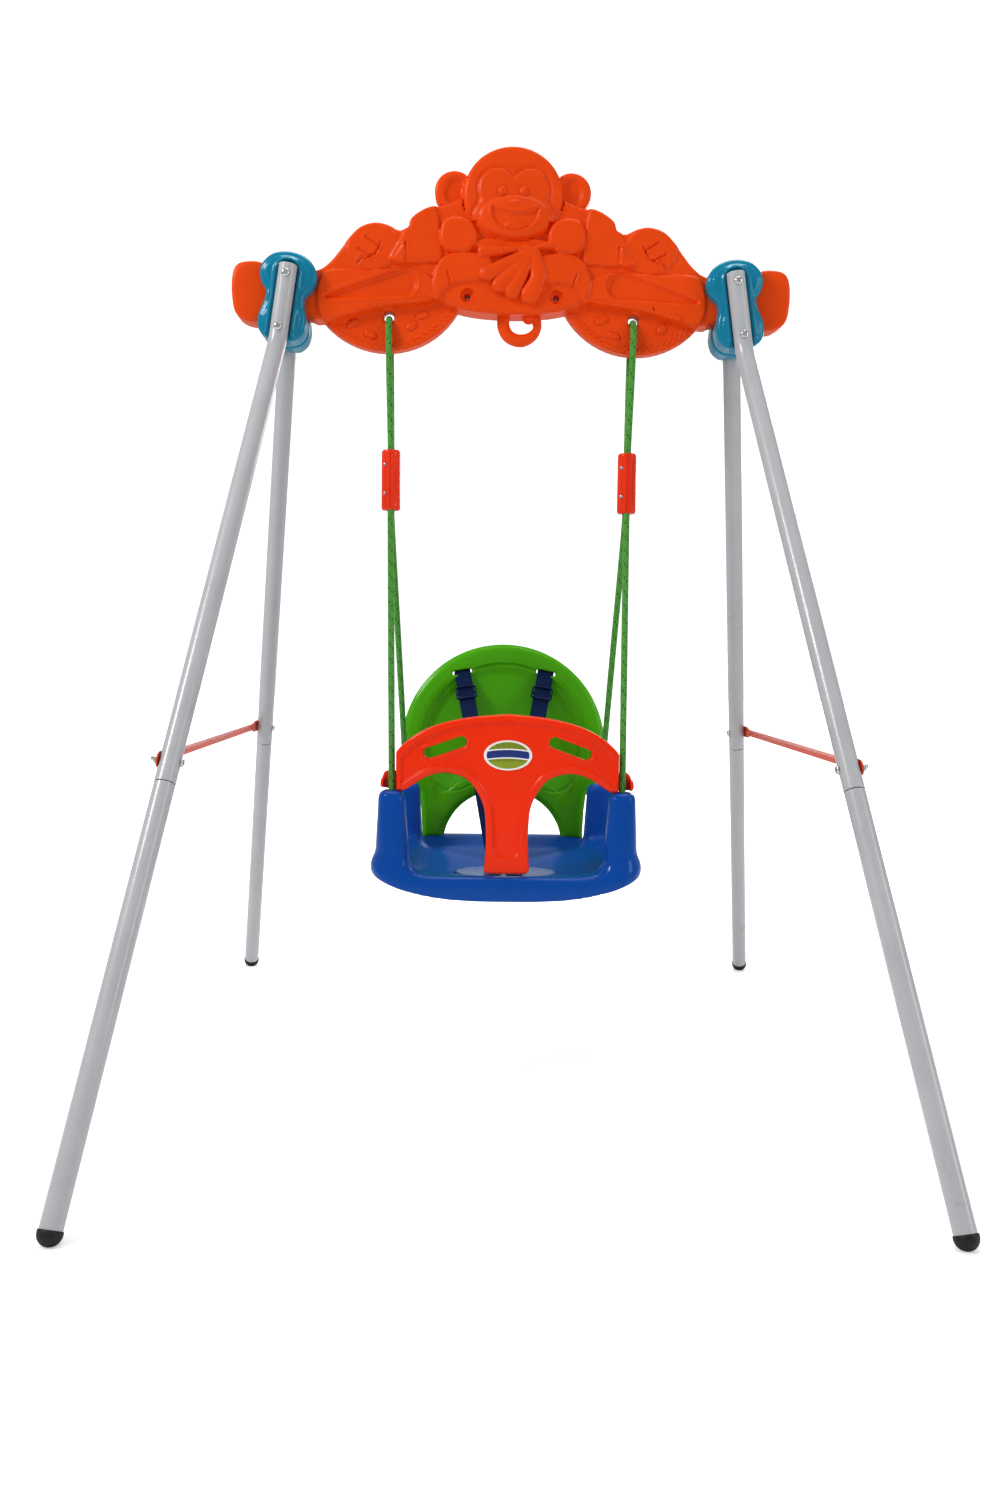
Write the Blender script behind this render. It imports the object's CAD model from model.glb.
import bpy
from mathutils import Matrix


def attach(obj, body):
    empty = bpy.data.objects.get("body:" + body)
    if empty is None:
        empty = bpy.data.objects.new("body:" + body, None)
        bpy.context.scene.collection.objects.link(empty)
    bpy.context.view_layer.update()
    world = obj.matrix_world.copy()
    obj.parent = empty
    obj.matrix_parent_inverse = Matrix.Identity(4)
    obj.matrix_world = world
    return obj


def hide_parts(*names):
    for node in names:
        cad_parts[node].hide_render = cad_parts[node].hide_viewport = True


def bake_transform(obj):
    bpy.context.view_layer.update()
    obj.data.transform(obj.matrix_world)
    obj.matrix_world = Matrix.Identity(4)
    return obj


bl_info = {
    "name": "Toddler Swing Set",
    "version": (1, 0, 0),
    "blender": (4, 5, 0),
    "location": "View3D > Sidebar > Swing Set",
    "description": "Builds a toddler's A-frame swing, piece by piece, and its studio",
    "category": "Add Mesh",
}

import math

import bmesh
import bpy
import numpy as np
from mathutils import Matrix, Vector

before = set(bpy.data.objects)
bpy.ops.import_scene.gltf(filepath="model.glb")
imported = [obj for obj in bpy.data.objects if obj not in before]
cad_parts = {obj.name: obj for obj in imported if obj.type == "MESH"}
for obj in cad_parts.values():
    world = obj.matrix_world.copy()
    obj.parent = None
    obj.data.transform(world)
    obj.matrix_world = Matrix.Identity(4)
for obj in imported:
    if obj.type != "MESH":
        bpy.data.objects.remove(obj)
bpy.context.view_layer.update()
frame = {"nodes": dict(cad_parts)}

MM = 0.001
HANDS = ((-1, "left"), (1, "right"))
ENDS = ((-1, "front"), (1, "rear"))

# ------------------------------------------------------------ sizes shared by the pieces, in mm
FOOT_SPAN = 471.0
FOOT_DEPTH = 565.0
SIDE_LEAN = math.radians(8.3)
LEG_TOP = 1142.0
LEG_BEND = 1037.0
BEND_RADIUS = 75.0
LEG_SEAM = 454.0
LEG_AXIS = 42.0
CAP_CENTRE = 12.0 / math.cos(SIDE_LEAN)
LEG_SLOPE = math.atan2(FOOT_DEPTH - LEG_AXIS, LEG_BEND - CAP_CENTRE)
BRACE_HEIGHT = 479.0
BOLT_HEIGHTS = (1128.0, 1056.0)

# The beam's rope holes: x and z. The adjusters: lower end, upper end and x.
HOLE = (171.0, 1071.0)
ADJUSTER = (805.0, 889.0, 167.5)

# The armrest posts: x and y of the rope inside, and the top. The knots' upper stop in the pan.
FRONT_POST = (154.0, -141.0, 421.0)
REAR_POST = (148.0, 92.0, 407.0)
KNOT_SEAT = 318.0
KNOT_DROP = 10.8

# Half of a rope's way over the beam's lip, and its two strands: (y, z) from the top down.
LOOP_HALF = ((0, 1069.4), (6, 1068.8), (12, 1064.8), (16.6, 1057.6), (19.2, 1048), (19.4, 1030), (19.4, 1013))
FRONT_STRAND = (
    (-18.4, 990), (-12.5, 945), (-7.4, 905), (-5.2, 880), (-5.2, 815), (-10, 790), (-66.5, 630),
    (-104.5, 522), (-131.5, 446), (-138, 424), (-141, 404), (-141, 340), (-141, KNOT_SEAT),
)
REAR_STRAND = (
    (18.4, 990), (12.5, 945), (7.4, 905), (5.2, 880), (5.2, 815), (8, 790), (43, 630),
    (66, 522), (84, 440), (89.5, 412), (92, 396), (92, 340), (92, KNOT_SEAT),
)


# ------------------------------------------------------------ mesh making
class Shell:
    """Points in millimetres and faces, gathered solid by solid."""

    def __init__(self):
        self.points = []
        self.faces = []
        self.uvs = []
        self.count = 0

    def add(self, made, uvs=None):
        points, faces = made
        points = np.asarray(points, float)
        self.points.append(points)
        start = self.count
        self.faces.extend([[i + start for i in face] for face in faces])
        self.count += len(points)
        self.uvs.extend(uvs if uvs is not None else [None] * len(faces))
        return self

    def moved(self, change):
        """The same shell with its points passed through a function of an (n, 3) array."""
        self.points = [change(p) for p in self.points]
        return self


def placed(name, data):
    """A new object of the scene that holds the data."""
    item = bpy.data.objects.new(name, data)
    bpy.context.scene.collection.objects.link(item)
    return item


def smooth_mesh(name, points, faces, sharp, uvs=()):
    """A clean mesh from points in millimetres, its edges sharp beyond an angle in degrees."""
    mesh = bpy.data.meshes.new(name)
    mesh.from_pydata((np.asarray(points) * MM).tolist(), [], faces)
    if any(uv is not None for uv in uvs):
        layer = mesh.uv_layers.new(name="along").data
        layer.foreach_set("uv", [c for uv in uvs for corner in uv for c in corner])
    work = bmesh.new()
    work.from_mesh(mesh)
    bmesh.ops.remove_doubles(work, verts=work.verts, dist=2e-6)
    bmesh.ops.recalc_face_normals(work, faces=work.faces)
    work.to_mesh(mesh)
    work.free()
    mesh.shade_smooth()
    mesh.set_sharp_from_angle(angle=math.radians(sharp))
    return mesh


def make_piece(name, shell, material, body=None, stands_for=(), sharp=38.0):
    mesh = smooth_mesh(name, np.vstack(shell.points), shell.faces, sharp, shell.uvs)
    mesh.materials.append(material)
    piece = placed(name, mesh)
    if body:
        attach(piece, body)
    if stands_for:
        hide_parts(*stands_for)
    return piece


def skin(rings, closed=True, caps=True):
    """Quads between rings of equal counts; the ends are closed with flat faces."""
    rings = np.asarray(rings, float)
    n, m = rings.shape[:2]
    faces = []
    last = m if closed else m - 1
    for i in range(n - 1):
        a, b = i * m, (i + 1) * m
        for j in range(last):
            k = (j + 1) % m
            faces.append([a + j, a + k, b + k, b + j])
    if caps:
        faces.append(list(range(m))[::-1])
        faces.append([(n - 1) * m + j for j in range(m)])
    return rings.reshape(-1, 3), faces


def circle(radius, sides, squash=1.0):
    turn = np.linspace(0, 2 * math.pi, sides, endpoint=False)
    return np.column_stack((radius * np.cos(turn), radius * squash * np.sin(turn)))


def superellipse(half_x, half_y, power, sides):
    """A rounded rectangle as a ring of (x, y); a higher power is squarer."""
    turn = np.linspace(0, 2 * math.pi, sides, endpoint=False)
    c, s = np.cos(turn), np.sin(turn)
    x = np.sign(c) * np.abs(c) ** (2 / power) * half_x
    y = np.sign(s) * np.abs(s) ** (2 / power) * half_y
    return np.column_stack((x, y))


def turned(profile, sides, hexagon=(), caps=True):
    """A solid of revolution about +Z from (radius, height) pairs, some of them six-sided."""
    turn = np.linspace(0, 2 * math.pi, sides, endpoint=False)
    flat = math.cos(math.pi / 6) / np.cos((turn + math.pi / 6) % (math.pi / 3) - math.pi / 6)
    rings = []
    for i, (radius, height) in enumerate(profile):
        r = radius * (flat if i in hexagon else np.ones(sides))
        rings.append(np.column_stack((r * np.cos(turn), r * np.sin(turn), np.full(sides, height))))
    return skin(rings, caps=caps)


def carried(made, matrix):
    points, faces = made
    points = np.asarray(points, float)
    m = np.array(matrix)
    return points @ m[:3, :3].T + m[:3, 3], faces


def smooth_path(points, step):
    """A centripetal curve through the points, with its own points evenly spaced."""
    p = np.asarray(points, float)
    p = np.vstack((2 * p[0] - p[1], p, 2 * p[-1] - p[-2]))
    knots = np.concatenate(([0], np.cumsum(np.sqrt(np.linalg.norm(np.diff(p, axis=0), axis=1)))))
    dense = []
    for i in range(1, len(p) - 2):
        t0, t1, t2, t3 = knots[i - 1 : i + 3]
        t = np.linspace(t1, t2, 24, endpoint=False)[:, None]
        a1 = (t1 - t) / (t1 - t0) * p[i - 1] + (t - t0) / (t1 - t0) * p[i]
        a2 = (t2 - t) / (t2 - t1) * p[i] + (t - t1) / (t2 - t1) * p[i + 1]
        a3 = (t3 - t) / (t3 - t2) * p[i + 1] + (t - t2) / (t3 - t2) * p[i + 2]
        b1 = (t2 - t) / (t2 - t0) * a1 + (t - t0) / (t2 - t0) * a2
        b2 = (t3 - t) / (t3 - t1) * a2 + (t - t1) / (t3 - t1) * a3
        dense.append((t2 - t) / (t2 - t1) * b1 + (t - t1) / (t2 - t1) * b2)
    dense = np.vstack((*dense, p[-2:-1]))
    return spaced(dense, step)


def spaced(points, step):
    """The same line with evenly spaced points."""
    run = np.concatenate(([0], np.cumsum(np.linalg.norm(np.diff(points, axis=0), axis=1))))
    count = max(2, int(round(run[-1] / step)) + 1)
    at = np.linspace(0, run[-1], count)
    return np.column_stack([np.interp(at, run, points[:, k]) for k in range(points.shape[1])])


def frames_along(path, first):
    """Tangent, side and up directions at each point, turning as little as they can."""
    path = np.asarray(path, float)
    tangent = np.gradient(path, axis=0)
    tangent /= np.linalg.norm(tangent, axis=1)[:, None]
    side = np.zeros_like(tangent)
    s = np.asarray(first, float)
    for i, t in enumerate(tangent):
        s = s - t * (s @ t)
        s = s / np.linalg.norm(s)
        side[i] = s
    return tangent, side, np.cross(tangent, side)


def sweep(path, section, first=(1, 0, 0), caps=True):
    """A section, or one section for each point, carried along a path."""
    path = np.asarray(path, float)
    _, side, up = frames_along(path, first)
    rings = []
    for i, p in enumerate(path):
        s = section if isinstance(section, np.ndarray) else section[i]
        rings.append(p + s[:, :1] * side[i] + s[:, 1:] * up[i])
    return skin(rings, caps=caps)


# ------------------------------------------------------------ distances in the XZ plane
def smooth_loop(points, count=16):
    """A closed smooth outline through (x, z) points."""
    p = np.asarray(points, float)
    p = np.vstack((p[-1], p, p[:2]))
    out = []
    for i in range(1, len(p) - 2):
        t = np.linspace(0, 1, count, endpoint=False)[:, None]
        a, b, c, d = p[i - 1], p[i], p[i + 1], p[i + 2]
        out.append(
            0.5 * (2 * b + (c - a) * t + (2 * a - 5 * b + 4 * c - d) * t**2 + (3 * b - a - 3 * c + d) * t**3)
        )
    return np.vstack(out)


def mirrored(half):
    """A whole outline from its right half, whose ends may stand on x = 0."""
    half = [tuple(p) for p in half]
    return half + [(-x, z) for x, z in reversed(half) if x > 0]


def to_line(x, z, line):
    """Distance from each point to an open line of (x, z) points."""
    best = np.full(x.shape, 1e9)
    for (ax, az), (bx, bz) in zip(line[:-1], line[1:]):
        dx, dz = bx - ax, bz - az
        t = np.clip(((x - ax) * dx + (z - az) * dz) / (dx * dx + dz * dz + 1e-12), 0, 1)
        best = np.minimum(best, (x - ax - t * dx) ** 2 + (z - az - t * dz) ** 2)
    return np.sqrt(best)


def to_outline(x, z, loop):
    """Signed distance to a closed outline, negative inside."""
    loop = np.asarray(loop, float)
    closed = np.vstack((loop, loop[:1]))
    inside = np.zeros(x.shape, bool)
    for (ax, az), (bx, bz) in zip(closed[:-1], closed[1:]):
        crosses = (az > z) != (bz > z)
        with np.errstate(divide="ignore", invalid="ignore"):
            cut = (bx - ax) * (z - az) / (bz - az) + ax
        inside ^= crosses & (x < cut)
    return np.where(inside, -1, 1) * to_line(x, z, closed)


def to_ellipse(x, z, cx, cz, rx, rz, turn=0.0):
    c, s = math.cos(turn), math.sin(turn)
    u, w = (x - cx) * c + (z - cz) * s, -(x - cx) * s + (z - cz) * c
    k = np.sqrt((u / rx) ** 2 + (w / rz) ** 2)
    g = np.sqrt((u / rx**2) ** 2 + (w / rz**2) ** 2) + 1e-9
    return np.where(k < 0.3, (k - 1) * min(rx, rz), k * (k - 1) / g)


def to_capsule(x, z, a, b, ra, rb=None):
    """Distance to a rod with round ends, which may taper from ra to rb."""
    rb = ra if rb is None else rb
    dx, dz = b[0] - a[0], b[1] - a[1]
    t = np.clip(((x - a[0]) * dx + (z - a[1]) * dz) / (dx * dx + dz * dz), 0, 1)
    return np.hypot(x - a[0] - t * dx, z - a[1] - t * dz) - (ra + t * (rb - ra))


def soft_min(a, b, k):
    h = np.clip(0.5 + 0.5 * (b - a) / k, 0, 1)
    return b + (a - b) * h - k * h * (1 - h)


def soft_max(a, b, k):
    return -soft_min(-a, -b, k)


def ramp(t):
    """Rises smoothly from 0 at t = 0 to 1 at t = 1."""
    t = np.clip(t, 0, 1)
    return t * t * (3 - 2 * t)


def fade(d, width):
    """Falls smoothly from 1 at d = 0 to 0 at d = width."""
    return 1 - ramp(d / width)


def ridge(d, width):
    """A bell of height 1 along d = 0."""
    return np.exp(-((d / width) ** 2))


def dome(t):
    """The height of a half circle over -1 < t < 1, and 0 outside it."""
    return np.sqrt(np.clip(1 - t**2, 0, 1))


def to_pair(x, z, ring):
    """Signed distance to two round shapes that stand alike left and right: x, z and radius."""
    return np.hypot(np.abs(x) - ring[0], z - ring[1]) - ring[2]


def to_shape(x, z, points):
    """Signed distance to the smooth closed outline through a few points."""
    return to_outline(x, z, smooth_loop(points, 8))


def raised(d, height, edge):
    """Height of a pad with a rounded edge inside the region d < 0, falling away steeply outside."""
    t = np.clip(-d, 0, edge)
    return height - edge + np.sqrt(edge**2 - (edge - t) ** 2) - 2.5 * np.clip(d, 0, 50)


# ------------------------------------------------------------ moulded plates
def cut_grid(field, low, high, step):
    """Points and faces of the region field < 0, cut along its edge."""
    xs = np.arange(low[0], high[0] + step, step)
    zs = np.arange(low[1], high[1] + step, step)
    x, z = np.meshgrid(xs, zs, indexing="ij")
    f = field(x, z)
    gx, gz = np.gradient(f, step)
    size = np.hypot(gx, gz) + 1e-9
    near = np.abs(f) < 0.3 * step
    x = np.where(near, x - f * gx / size**2, x)
    z = np.where(near, z - f * gz / size**2, z)
    snapped = near.ravel()
    inside = (f < 0) | near
    nx, nz = f.shape
    flat = inside.ravel()
    i, j = np.meshgrid(np.arange(nx - 1), np.arange(nz - 1), indexing="ij")
    a = (i * nz + j).ravel()
    corners = np.column_stack((a, a + nz, a + nz + 1, a + 1))
    full = flat[corners].all(axis=1)
    mixed = flat[corners].any(axis=1) & ~full
    points = np.column_stack((x.ravel(), z.ravel()))
    values = f.ravel()
    faces = corners[full].tolist()
    extra = []
    cuts = {}
    for quad in corners[mixed].tolist():
        ring = []
        for k in range(4):
            p, q = quad[k], quad[(k + 1) % 4]
            if flat[p]:
                ring.append(p)
            if flat[p] != flat[q]:
                if snapped[p] or snapped[q]:
                    ring.append(p if snapped[p] else q)
                else:
                    key = (min(p, q), max(p, q))
                    if key not in cuts:
                        t = values[p] / (values[p] - values[q])
                        cuts[key] = len(points) + len(extra)
                        extra.append(points[p] + t * (points[q] - points[p]))
                    ring.append(cuts[key])
        clean = [v for n, v in enumerate(ring) if v != ring[n - 1]]
        if len(set(clean)) >= 3:
            faces.append(clean)
    if extra:
        points = np.vstack((points, extra))
    used = sorted({v for face in faces for v in face})
    order = np.full(len(points), -1)
    order[used] = np.arange(len(used))
    return points[used], [[int(order[v]) for v in face] for face in faces]


def edge_pairs(faces):
    """Directed edges that only one face has, which run round the region's edge."""
    seen = set()
    for face in faces:
        for k, v in enumerate(face):
            seen.add((v, face[(k + 1) % len(face)]))
    return [e for e in seen if (e[1], e[0]) not in seen]


def plate(field, front, back, low, high, step, edge, rings):
    """A plate in the XZ plane whose faces stand at y = front(x, z) and y = back(x, z).

    Its region is field < 0, and its rim is rounded over the given edge width."""
    points, faces = cut_grid(lambda x, z: field(x, z) + edge, low, high, step)
    pairs = sorted(edge_pairs(faces))
    rim = sorted({v for pair in pairs for v in pair})
    place = {v: n for n, v in enumerate(rim)}
    x, z = points[rim, 0], points[rim, 1]
    reach = 0.6
    nx = field(x + reach, z) - field(x - reach, z)
    nz = field(x, z + reach) - field(x, z - reach)
    size = np.hypot(nx, nz) + 1e-9
    nx, nz = nx / size, nz / size
    y_front, y_back = front(*points.T), back(*points.T)
    thick = y_back[rim] - y_front[rim]
    fall = np.minimum(edge, thick / 2 - 0.15)
    count, n_rim = len(points), len(rim)
    all_points = [
        np.column_stack((points[:, 0], y_front, points[:, 1])),
        np.column_stack((points[:, 0], y_back, points[:, 1])),
    ]
    out = list(faces) + [[v + count for v in reversed(face)] for face in faces]
    rows = [[rim, [v + count for v in rim]]]
    for k in range(1, rings + 1):
        turn = math.pi / 2 * k / rings
        ox, oz = x + nx * edge * math.sin(turn), z + nz * edge * math.sin(turn)
        down = fall * (1 - math.cos(turn))
        start = 2 * count + (k - 1) * 2 * n_rim
        all_points.append(np.column_stack((ox, y_front[rim] + down, oz)))
        all_points.append(np.column_stack((ox, y_back[rim] - down, oz)))
        rows.append([list(range(start, start + n_rim)), list(range(start + n_rim, start + 2 * n_rim))])
    for a, b in pairs:
        i, j = place[a], place[b]
        for k in range(rings):
            inner, outer = rows[k], rows[k + 1]
            out.append([inner[0][j], inner[0][i], outer[0][i], outer[0][j]])
            out.append([inner[1][i], inner[1][j], outer[1][j], outer[1][i]])
        last = rows[rings]
        out.append([last[0][j], last[0][i], last[1][i], last[1][j]])
    return np.vstack(all_points), out


# ------------------------------------------------------------ finishes
class Finish:
    """A material's node tree, built one node at a time."""

    def __init__(self, name, material=None):
        self.material = material or bpy.data.materials.new(name)
        self.material.use_nodes = True
        self.tree = self.material.node_tree
        self.shader = self.tree.nodes["Principled BSDF"]

    def add(self, kind, inputs=None, **settings):
        node = self.tree.nodes.new(kind)
        for key, value in settings.items():
            setattr(node, key, value)
        for key, value in (inputs or {}).items():
            self.feed(node.inputs[key], value)
        return node

    def feed(self, socket, value):
        """Links an output to the socket, or gives it a plain value."""
        if hasattr(value, "is_output"):
            self.tree.links.new(value, socket)
        else:
            socket.default_value = value

    def math(self, operation, a, b=0.0):
        return self.add("ShaderNodeMath", {0: a, 1: b}, operation=operation).outputs[0]

    def place(self):
        return self.add("ShaderNodeTexCoord").outputs["Object"]

    def noise(self, scale, detail=2.0, where=None, roughness=0.5):
        inputs = {"Vector": where or self.place(), "Scale": scale, "Detail": detail, "Roughness": roughness}
        return self.add("ShaderNodeTexNoise", inputs).outputs["Fac"]

    def mix(self, amount, a, b):
        inputs = {0: amount, 6: a, 7: b}
        return self.add("ShaderNodeMix", inputs, data_type="RGBA").outputs[2]

    def spread(self, value, low, high, from_low=0.0, from_high=1.0):
        inputs = {"Value": value, "From Min": from_low, "From Max": from_high, "To Min": low, "To Max": high}
        return self.add("ShaderNodeMapRange", inputs).outputs[0]

    def bump(self, height, strength, distance, onto=None):
        inputs = {"Height": height, "Strength": strength, "Distance": distance}
        if onto:
            inputs["Normal"] = onto
        return self.add("ShaderNodeBump", inputs).outputs[0]

    def set(self, **sockets):
        for key, value in sockets.items():
            self.feed(self.shader.inputs[key.replace("_", " ")], value)
        return self.material


def shade(colour, factor):
    return (*(min(1.0, c * factor) for c in colour[:3]), 1.0)


def moulded_plastic(name, colour, rough=0.3, grain=0.25, coat=0.0, cloud=0.06):
    """Polyethylene: a fine skin grain, faint flow marks and small changes of tone and gloss."""
    f = Finish(name)
    flow = f.noise(9.0, 3.0)
    fine = f.noise(1100.0, 2.0)
    skin_waves = f.noise(55.0, 2.0)
    tone = f.mix(f.spread(flow, 0, 1, 0.3, 0.7), shade(colour, 1 - cloud), shade(colour, 1 + cloud))
    scuff = f.noise(240.0, 4.0, roughness=0.7)
    gloss = f.spread(scuff, rough - 0.05, rough + 0.09, 0.3, 0.75)
    relief = f.bump(fine, grain, 0.0001)
    relief = f.bump(skin_waves, 0.12, 0.0006, relief)
    return f.set(
        Base_Color=tone, Roughness=gloss, Normal=relief, Specular_IOR_Level=0.22, Coat_Weight=coat,
        Coat_IOR=1.35, Coat_Roughness=0.08,
    )


def seat_plastic(name, colour):
    """The pan's plastic: matt on its textured floor, polished where the guard bar's foot rests."""
    material = moulded_plastic(name, colour, rough=0.2, grain=0.1, coat=0.2)
    f = Finish(name, material)
    zones = f.add("ShaderNodeAttribute", attribute_name="zones")
    parts = f.add("ShaderNodeSeparateXYZ", {0: zones.outputs["Vector"]})
    floor, spot = parts.outputs[0], parts.outputs[1]
    pebble = f.noise(520.0, 3.0, roughness=0.65)
    matt = f.mix(floor, (0.2, 0.2, 0.2, 1), (0.42, 0.42, 0.42, 1))
    rough = f.mix(spot, matt, (0.05, 0.05, 0.05, 1))
    onto = f.shader.inputs["Normal"].links[0].from_socket
    skin_grain = f.bump(pebble, f.spread(floor, 0.0, 0.5), 0.0003, onto)
    tone = f.shader.inputs["Base Color"].links[0].from_socket
    tone = f.mix(f.math("MULTIPLY", spot, 0.85), tone, (0.32, 0.48, 0.64, 1))
    shine = f.spread(spot, 0.22, 1.0)
    return f.set(Base_Color=tone, Roughness=rough, Normal=skin_grain, Specular_IOR_Level=shine)


def powder_coat(name, colour, rough=0.32):
    """Baked paint on steel tube: an orange-peel skin with a little dust in it."""
    f = Finish(name)
    peel = f.noise(420.0, 2.0)
    drift = f.noise(14.0, 3.0)
    specks = f.noise(900.0, 0.0)
    tone = f.mix(f.spread(drift, 0, 1, 0.3, 0.7), shade(colour, 0.95), shade(colour, 1.03))
    tone = f.mix(f.spread(specks, 0, 0.25, 0.74, 0.8), tone, shade(colour, 0.55))
    gloss = f.spread(drift, rough - 0.05, rough + 0.06, 0.3, 0.7)
    relief = f.bump(peel, 0.22, 0.00025)
    return f.set(
        Base_Color=tone, Roughness=gloss, Normal=relief, Metallic=0.0, Coat_Weight=0.35,
        Coat_Roughness=0.12,
    )


def zinc_plate(name, colour):
    """Bright plated steel with fine turning marks and a little tarnish."""
    f = Finish(name)
    cloud = f.noise(160.0, 3.0)
    marks = f.noise(2400.0, 1.0)
    tone = f.mix(f.spread(cloud, 0, 1, 0.3, 0.7), shade(colour, 0.8), shade(colour, 1.05))
    return f.set(
        Base_Color=tone, Roughness=f.spread(cloud, 0.14, 0.3, 0.3, 0.7), Metallic=1.0,
        Normal=f.bump(marks, 0.1, 0.00005),
    )


def black_rubber(name, colour):
    f = Finish(name)
    fine = f.noise(1500.0, 3.0)
    dust = f.noise(60.0, 4.0, roughness=0.7)
    tone = f.mix(f.spread(dust, 0, 0.5, 0.45, 0.8), colour, shade(colour, 4.0))
    return f.set(
        Base_Color=tone, Roughness=f.spread(dust, 0.42, 0.62, 0.3, 0.7),
        Normal=f.bump(fine, 0.3, 0.0001),
    )


def braided_cord(name, light, dark):
    """Diamond cells of yarn. The UV map runs one unit for each yarn of either lay."""
    f = Finish(name)
    uv = f.add("ShaderNodeUVMap", uv_map="along").outputs[0]
    parts = f.add("ShaderNodeSeparateXYZ", {0: uv})
    one = f.math("FLOOR", parts.outputs[0])
    other = f.math("FLOOR", parts.outputs[1])
    cell = f.add("ShaderNodeCombineXYZ", {0: one, 1: other}).outputs[0]
    every = f.math("LESS_THAN", f.math("FLOORED_MODULO", one, 4.0), 0.5)
    top = f.math("LESS_THAN", f.math("FLOORED_MODULO", f.math("ADD", one, other), 2.0), 0.5)
    tracer = f.math("MULTIPLY", every, top)
    chance = f.add("ShaderNodeTexWhiteNoise", {"Vector": cell}, noise_dimensions="2D").outputs[0]
    across = f.add("ShaderNodeVectorMath", {0: uv}, operation="FRACTION").outputs[0]
    sides = f.add("ShaderNodeSeparateXYZ", {0: across})
    shut = []
    for k in (0, 1):
        centred = f.math("ABSOLUTE", f.math("SUBTRACT", sides.outputs[k], 0.5))
        shut.append(f.spread(centred, 0.0, 1.0, 0.3, 0.5))
    seam = f.math("MAXIMUM", shut[0], shut[1])
    fibres = f.add("ShaderNodeTexNoise", {"Vector": uv, "Scale": 34.0, "Detail": 3.0}).outputs["Fac"]
    tone = f.mix(f.spread(chance, 0.0, 0.6), light, shade(light, 0.62))
    tone = f.mix(f.math("MULTIPLY", tracer, 0.85), tone, dark)
    tone = f.mix(f.math("MULTIPLY", seam, 0.72), tone, shade(dark, 0.55))
    tone = f.mix(f.spread(fibres, 0.0, 0.35, 0.45, 0.8), tone, shade(light, 1.35))
    relief = f.bump(fibres, 0.35, 0.0003)
    return f.set(Base_Color=tone, Roughness=0.72, Normal=relief, Sheen_Weight=0.25, Sheen_Roughness=0.5)


def woven_webbing(name, colour):
    """Plain-woven band: the UV map gives millimetres across and along."""
    f = Finish(name)
    uv = f.add("ShaderNodeUVMap", uv_map="along").outputs[0]
    parts = f.add("ShaderNodeSeparateXYZ", {0: uv})
    warp = f.math("SINE", f.math("MULTIPLY", parts.outputs[0], 2 * math.pi / 1.9))
    weft = f.math("SINE", f.math("MULTIPLY", parts.outputs[1], 2 * math.pi / 1.3))
    weave = f.math("MULTIPLY", warp, weft)
    height = f.spread(weave, 0.0, 1.0, -1.0, 1.0)
    fuzz = f.add("ShaderNodeTexNoise", {"Vector": uv, "Scale": 2.2, "Detail": 3.0}).outputs["Fac"]
    tone = f.mix(height, shade(colour, 0.45), shade(colour, 1.35))
    tone = f.mix(f.spread(fuzz, 0.0, 0.3, 0.5, 0.8), tone, shade(colour, 2.0))
    relief = f.bump(height, 0.8, 0.0006)
    return f.set(Base_Color=tone, Roughness=0.7, Normal=relief, Specular_IOR_Level=0.2, Sheen_Weight=0.08)


def printed_badge(name, centre, half, ground, border, band):
    """A printed oval: pale border, mottled ground and a plain wavy band with a pale outline."""
    f = Finish(name)
    mapping = f.add("ShaderNodeMapping", {"Vector": f.place()})
    mapping.inputs["Location"].default_value = (-centre[0] / half[0], 0.0, -centre[2] / half[1])
    mapping.inputs["Scale"].default_value = (1 / half[0], 1.0, 1 / half[1])
    parts = f.add("ShaderNodeSeparateXYZ", {0: mapping.outputs[0]})
    x, z = parts.outputs[0], parts.outputs[2]
    reach = f.math("SQRT", f.math("ADD", f.math("MULTIPLY", x, x), f.math("MULTIPLY", z, z)))
    rays = f.math("ARCTAN2", z, x)
    burst = f.math("GREATER_THAN", f.math("SINE", f.math("MULTIPLY", rays, 18.0)), 0.0)
    tone = f.mix(f.math("MULTIPLY", burst, 0.35), ground, shade(ground, 0.62))
    low = f.math("LESS_THAN", z, -0.42)
    tone = f.mix(low, tone, shade(ground, 1.25))
    wave = f.math("MULTIPLY", f.math("SUBTRACT", 1.0, f.math("MULTIPLY", x, x)), 0.16)
    off = f.math("ABSOLUTE", f.math("SUBTRACT", z, f.math("SUBTRACT", wave, 0.04)))
    tone = f.mix(f.math("LESS_THAN", off, 0.33), tone, border)
    tone = f.mix(f.math("LESS_THAN", off, 0.24), tone, band)
    tone = f.mix(f.math("GREATER_THAN", reach, 0.88), tone, border)
    ink = f.noise(700.0, 2.0)
    return f.set(Base_Color=tone, Roughness=f.spread(ink, 0.22, 0.36), Coat_Weight=0.4, Coat_Roughness=0.1)


def studio_floor(name, colour):
    f = Finish(name)
    cloud = f.noise(1.3, 2.0)
    tone = f.mix(f.spread(cloud, 0, 1, 0.3, 0.7), shade(colour, 0.985), colour)
    reach = f.add("ShaderNodeVectorMath", {0: f.place()}, operation="LENGTH").outputs["Value"]
    seen = f.add("ShaderNodeLightPath").outputs["Is Camera Ray"]
    glow = f.math("MULTIPLY", seen, f.spread(reach, 0.32, 1.0, 0.8, 3.0))
    return f.set(
        Base_Color=tone, Roughness=0.85, Specular_IOR_Level=0.1,
        Emission_Color=(1, 1, 1, 1), Emission_Strength=glow,
    )


# ------------------------------------------------------------ settings
def colour_of(label, value, about):
    return bpy.props.FloatVectorProperty(
        name=label, description=about, subtype="COLOR", size=4, min=0.0, max=1.0, default=(*value, 1.0)
    )


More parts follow.
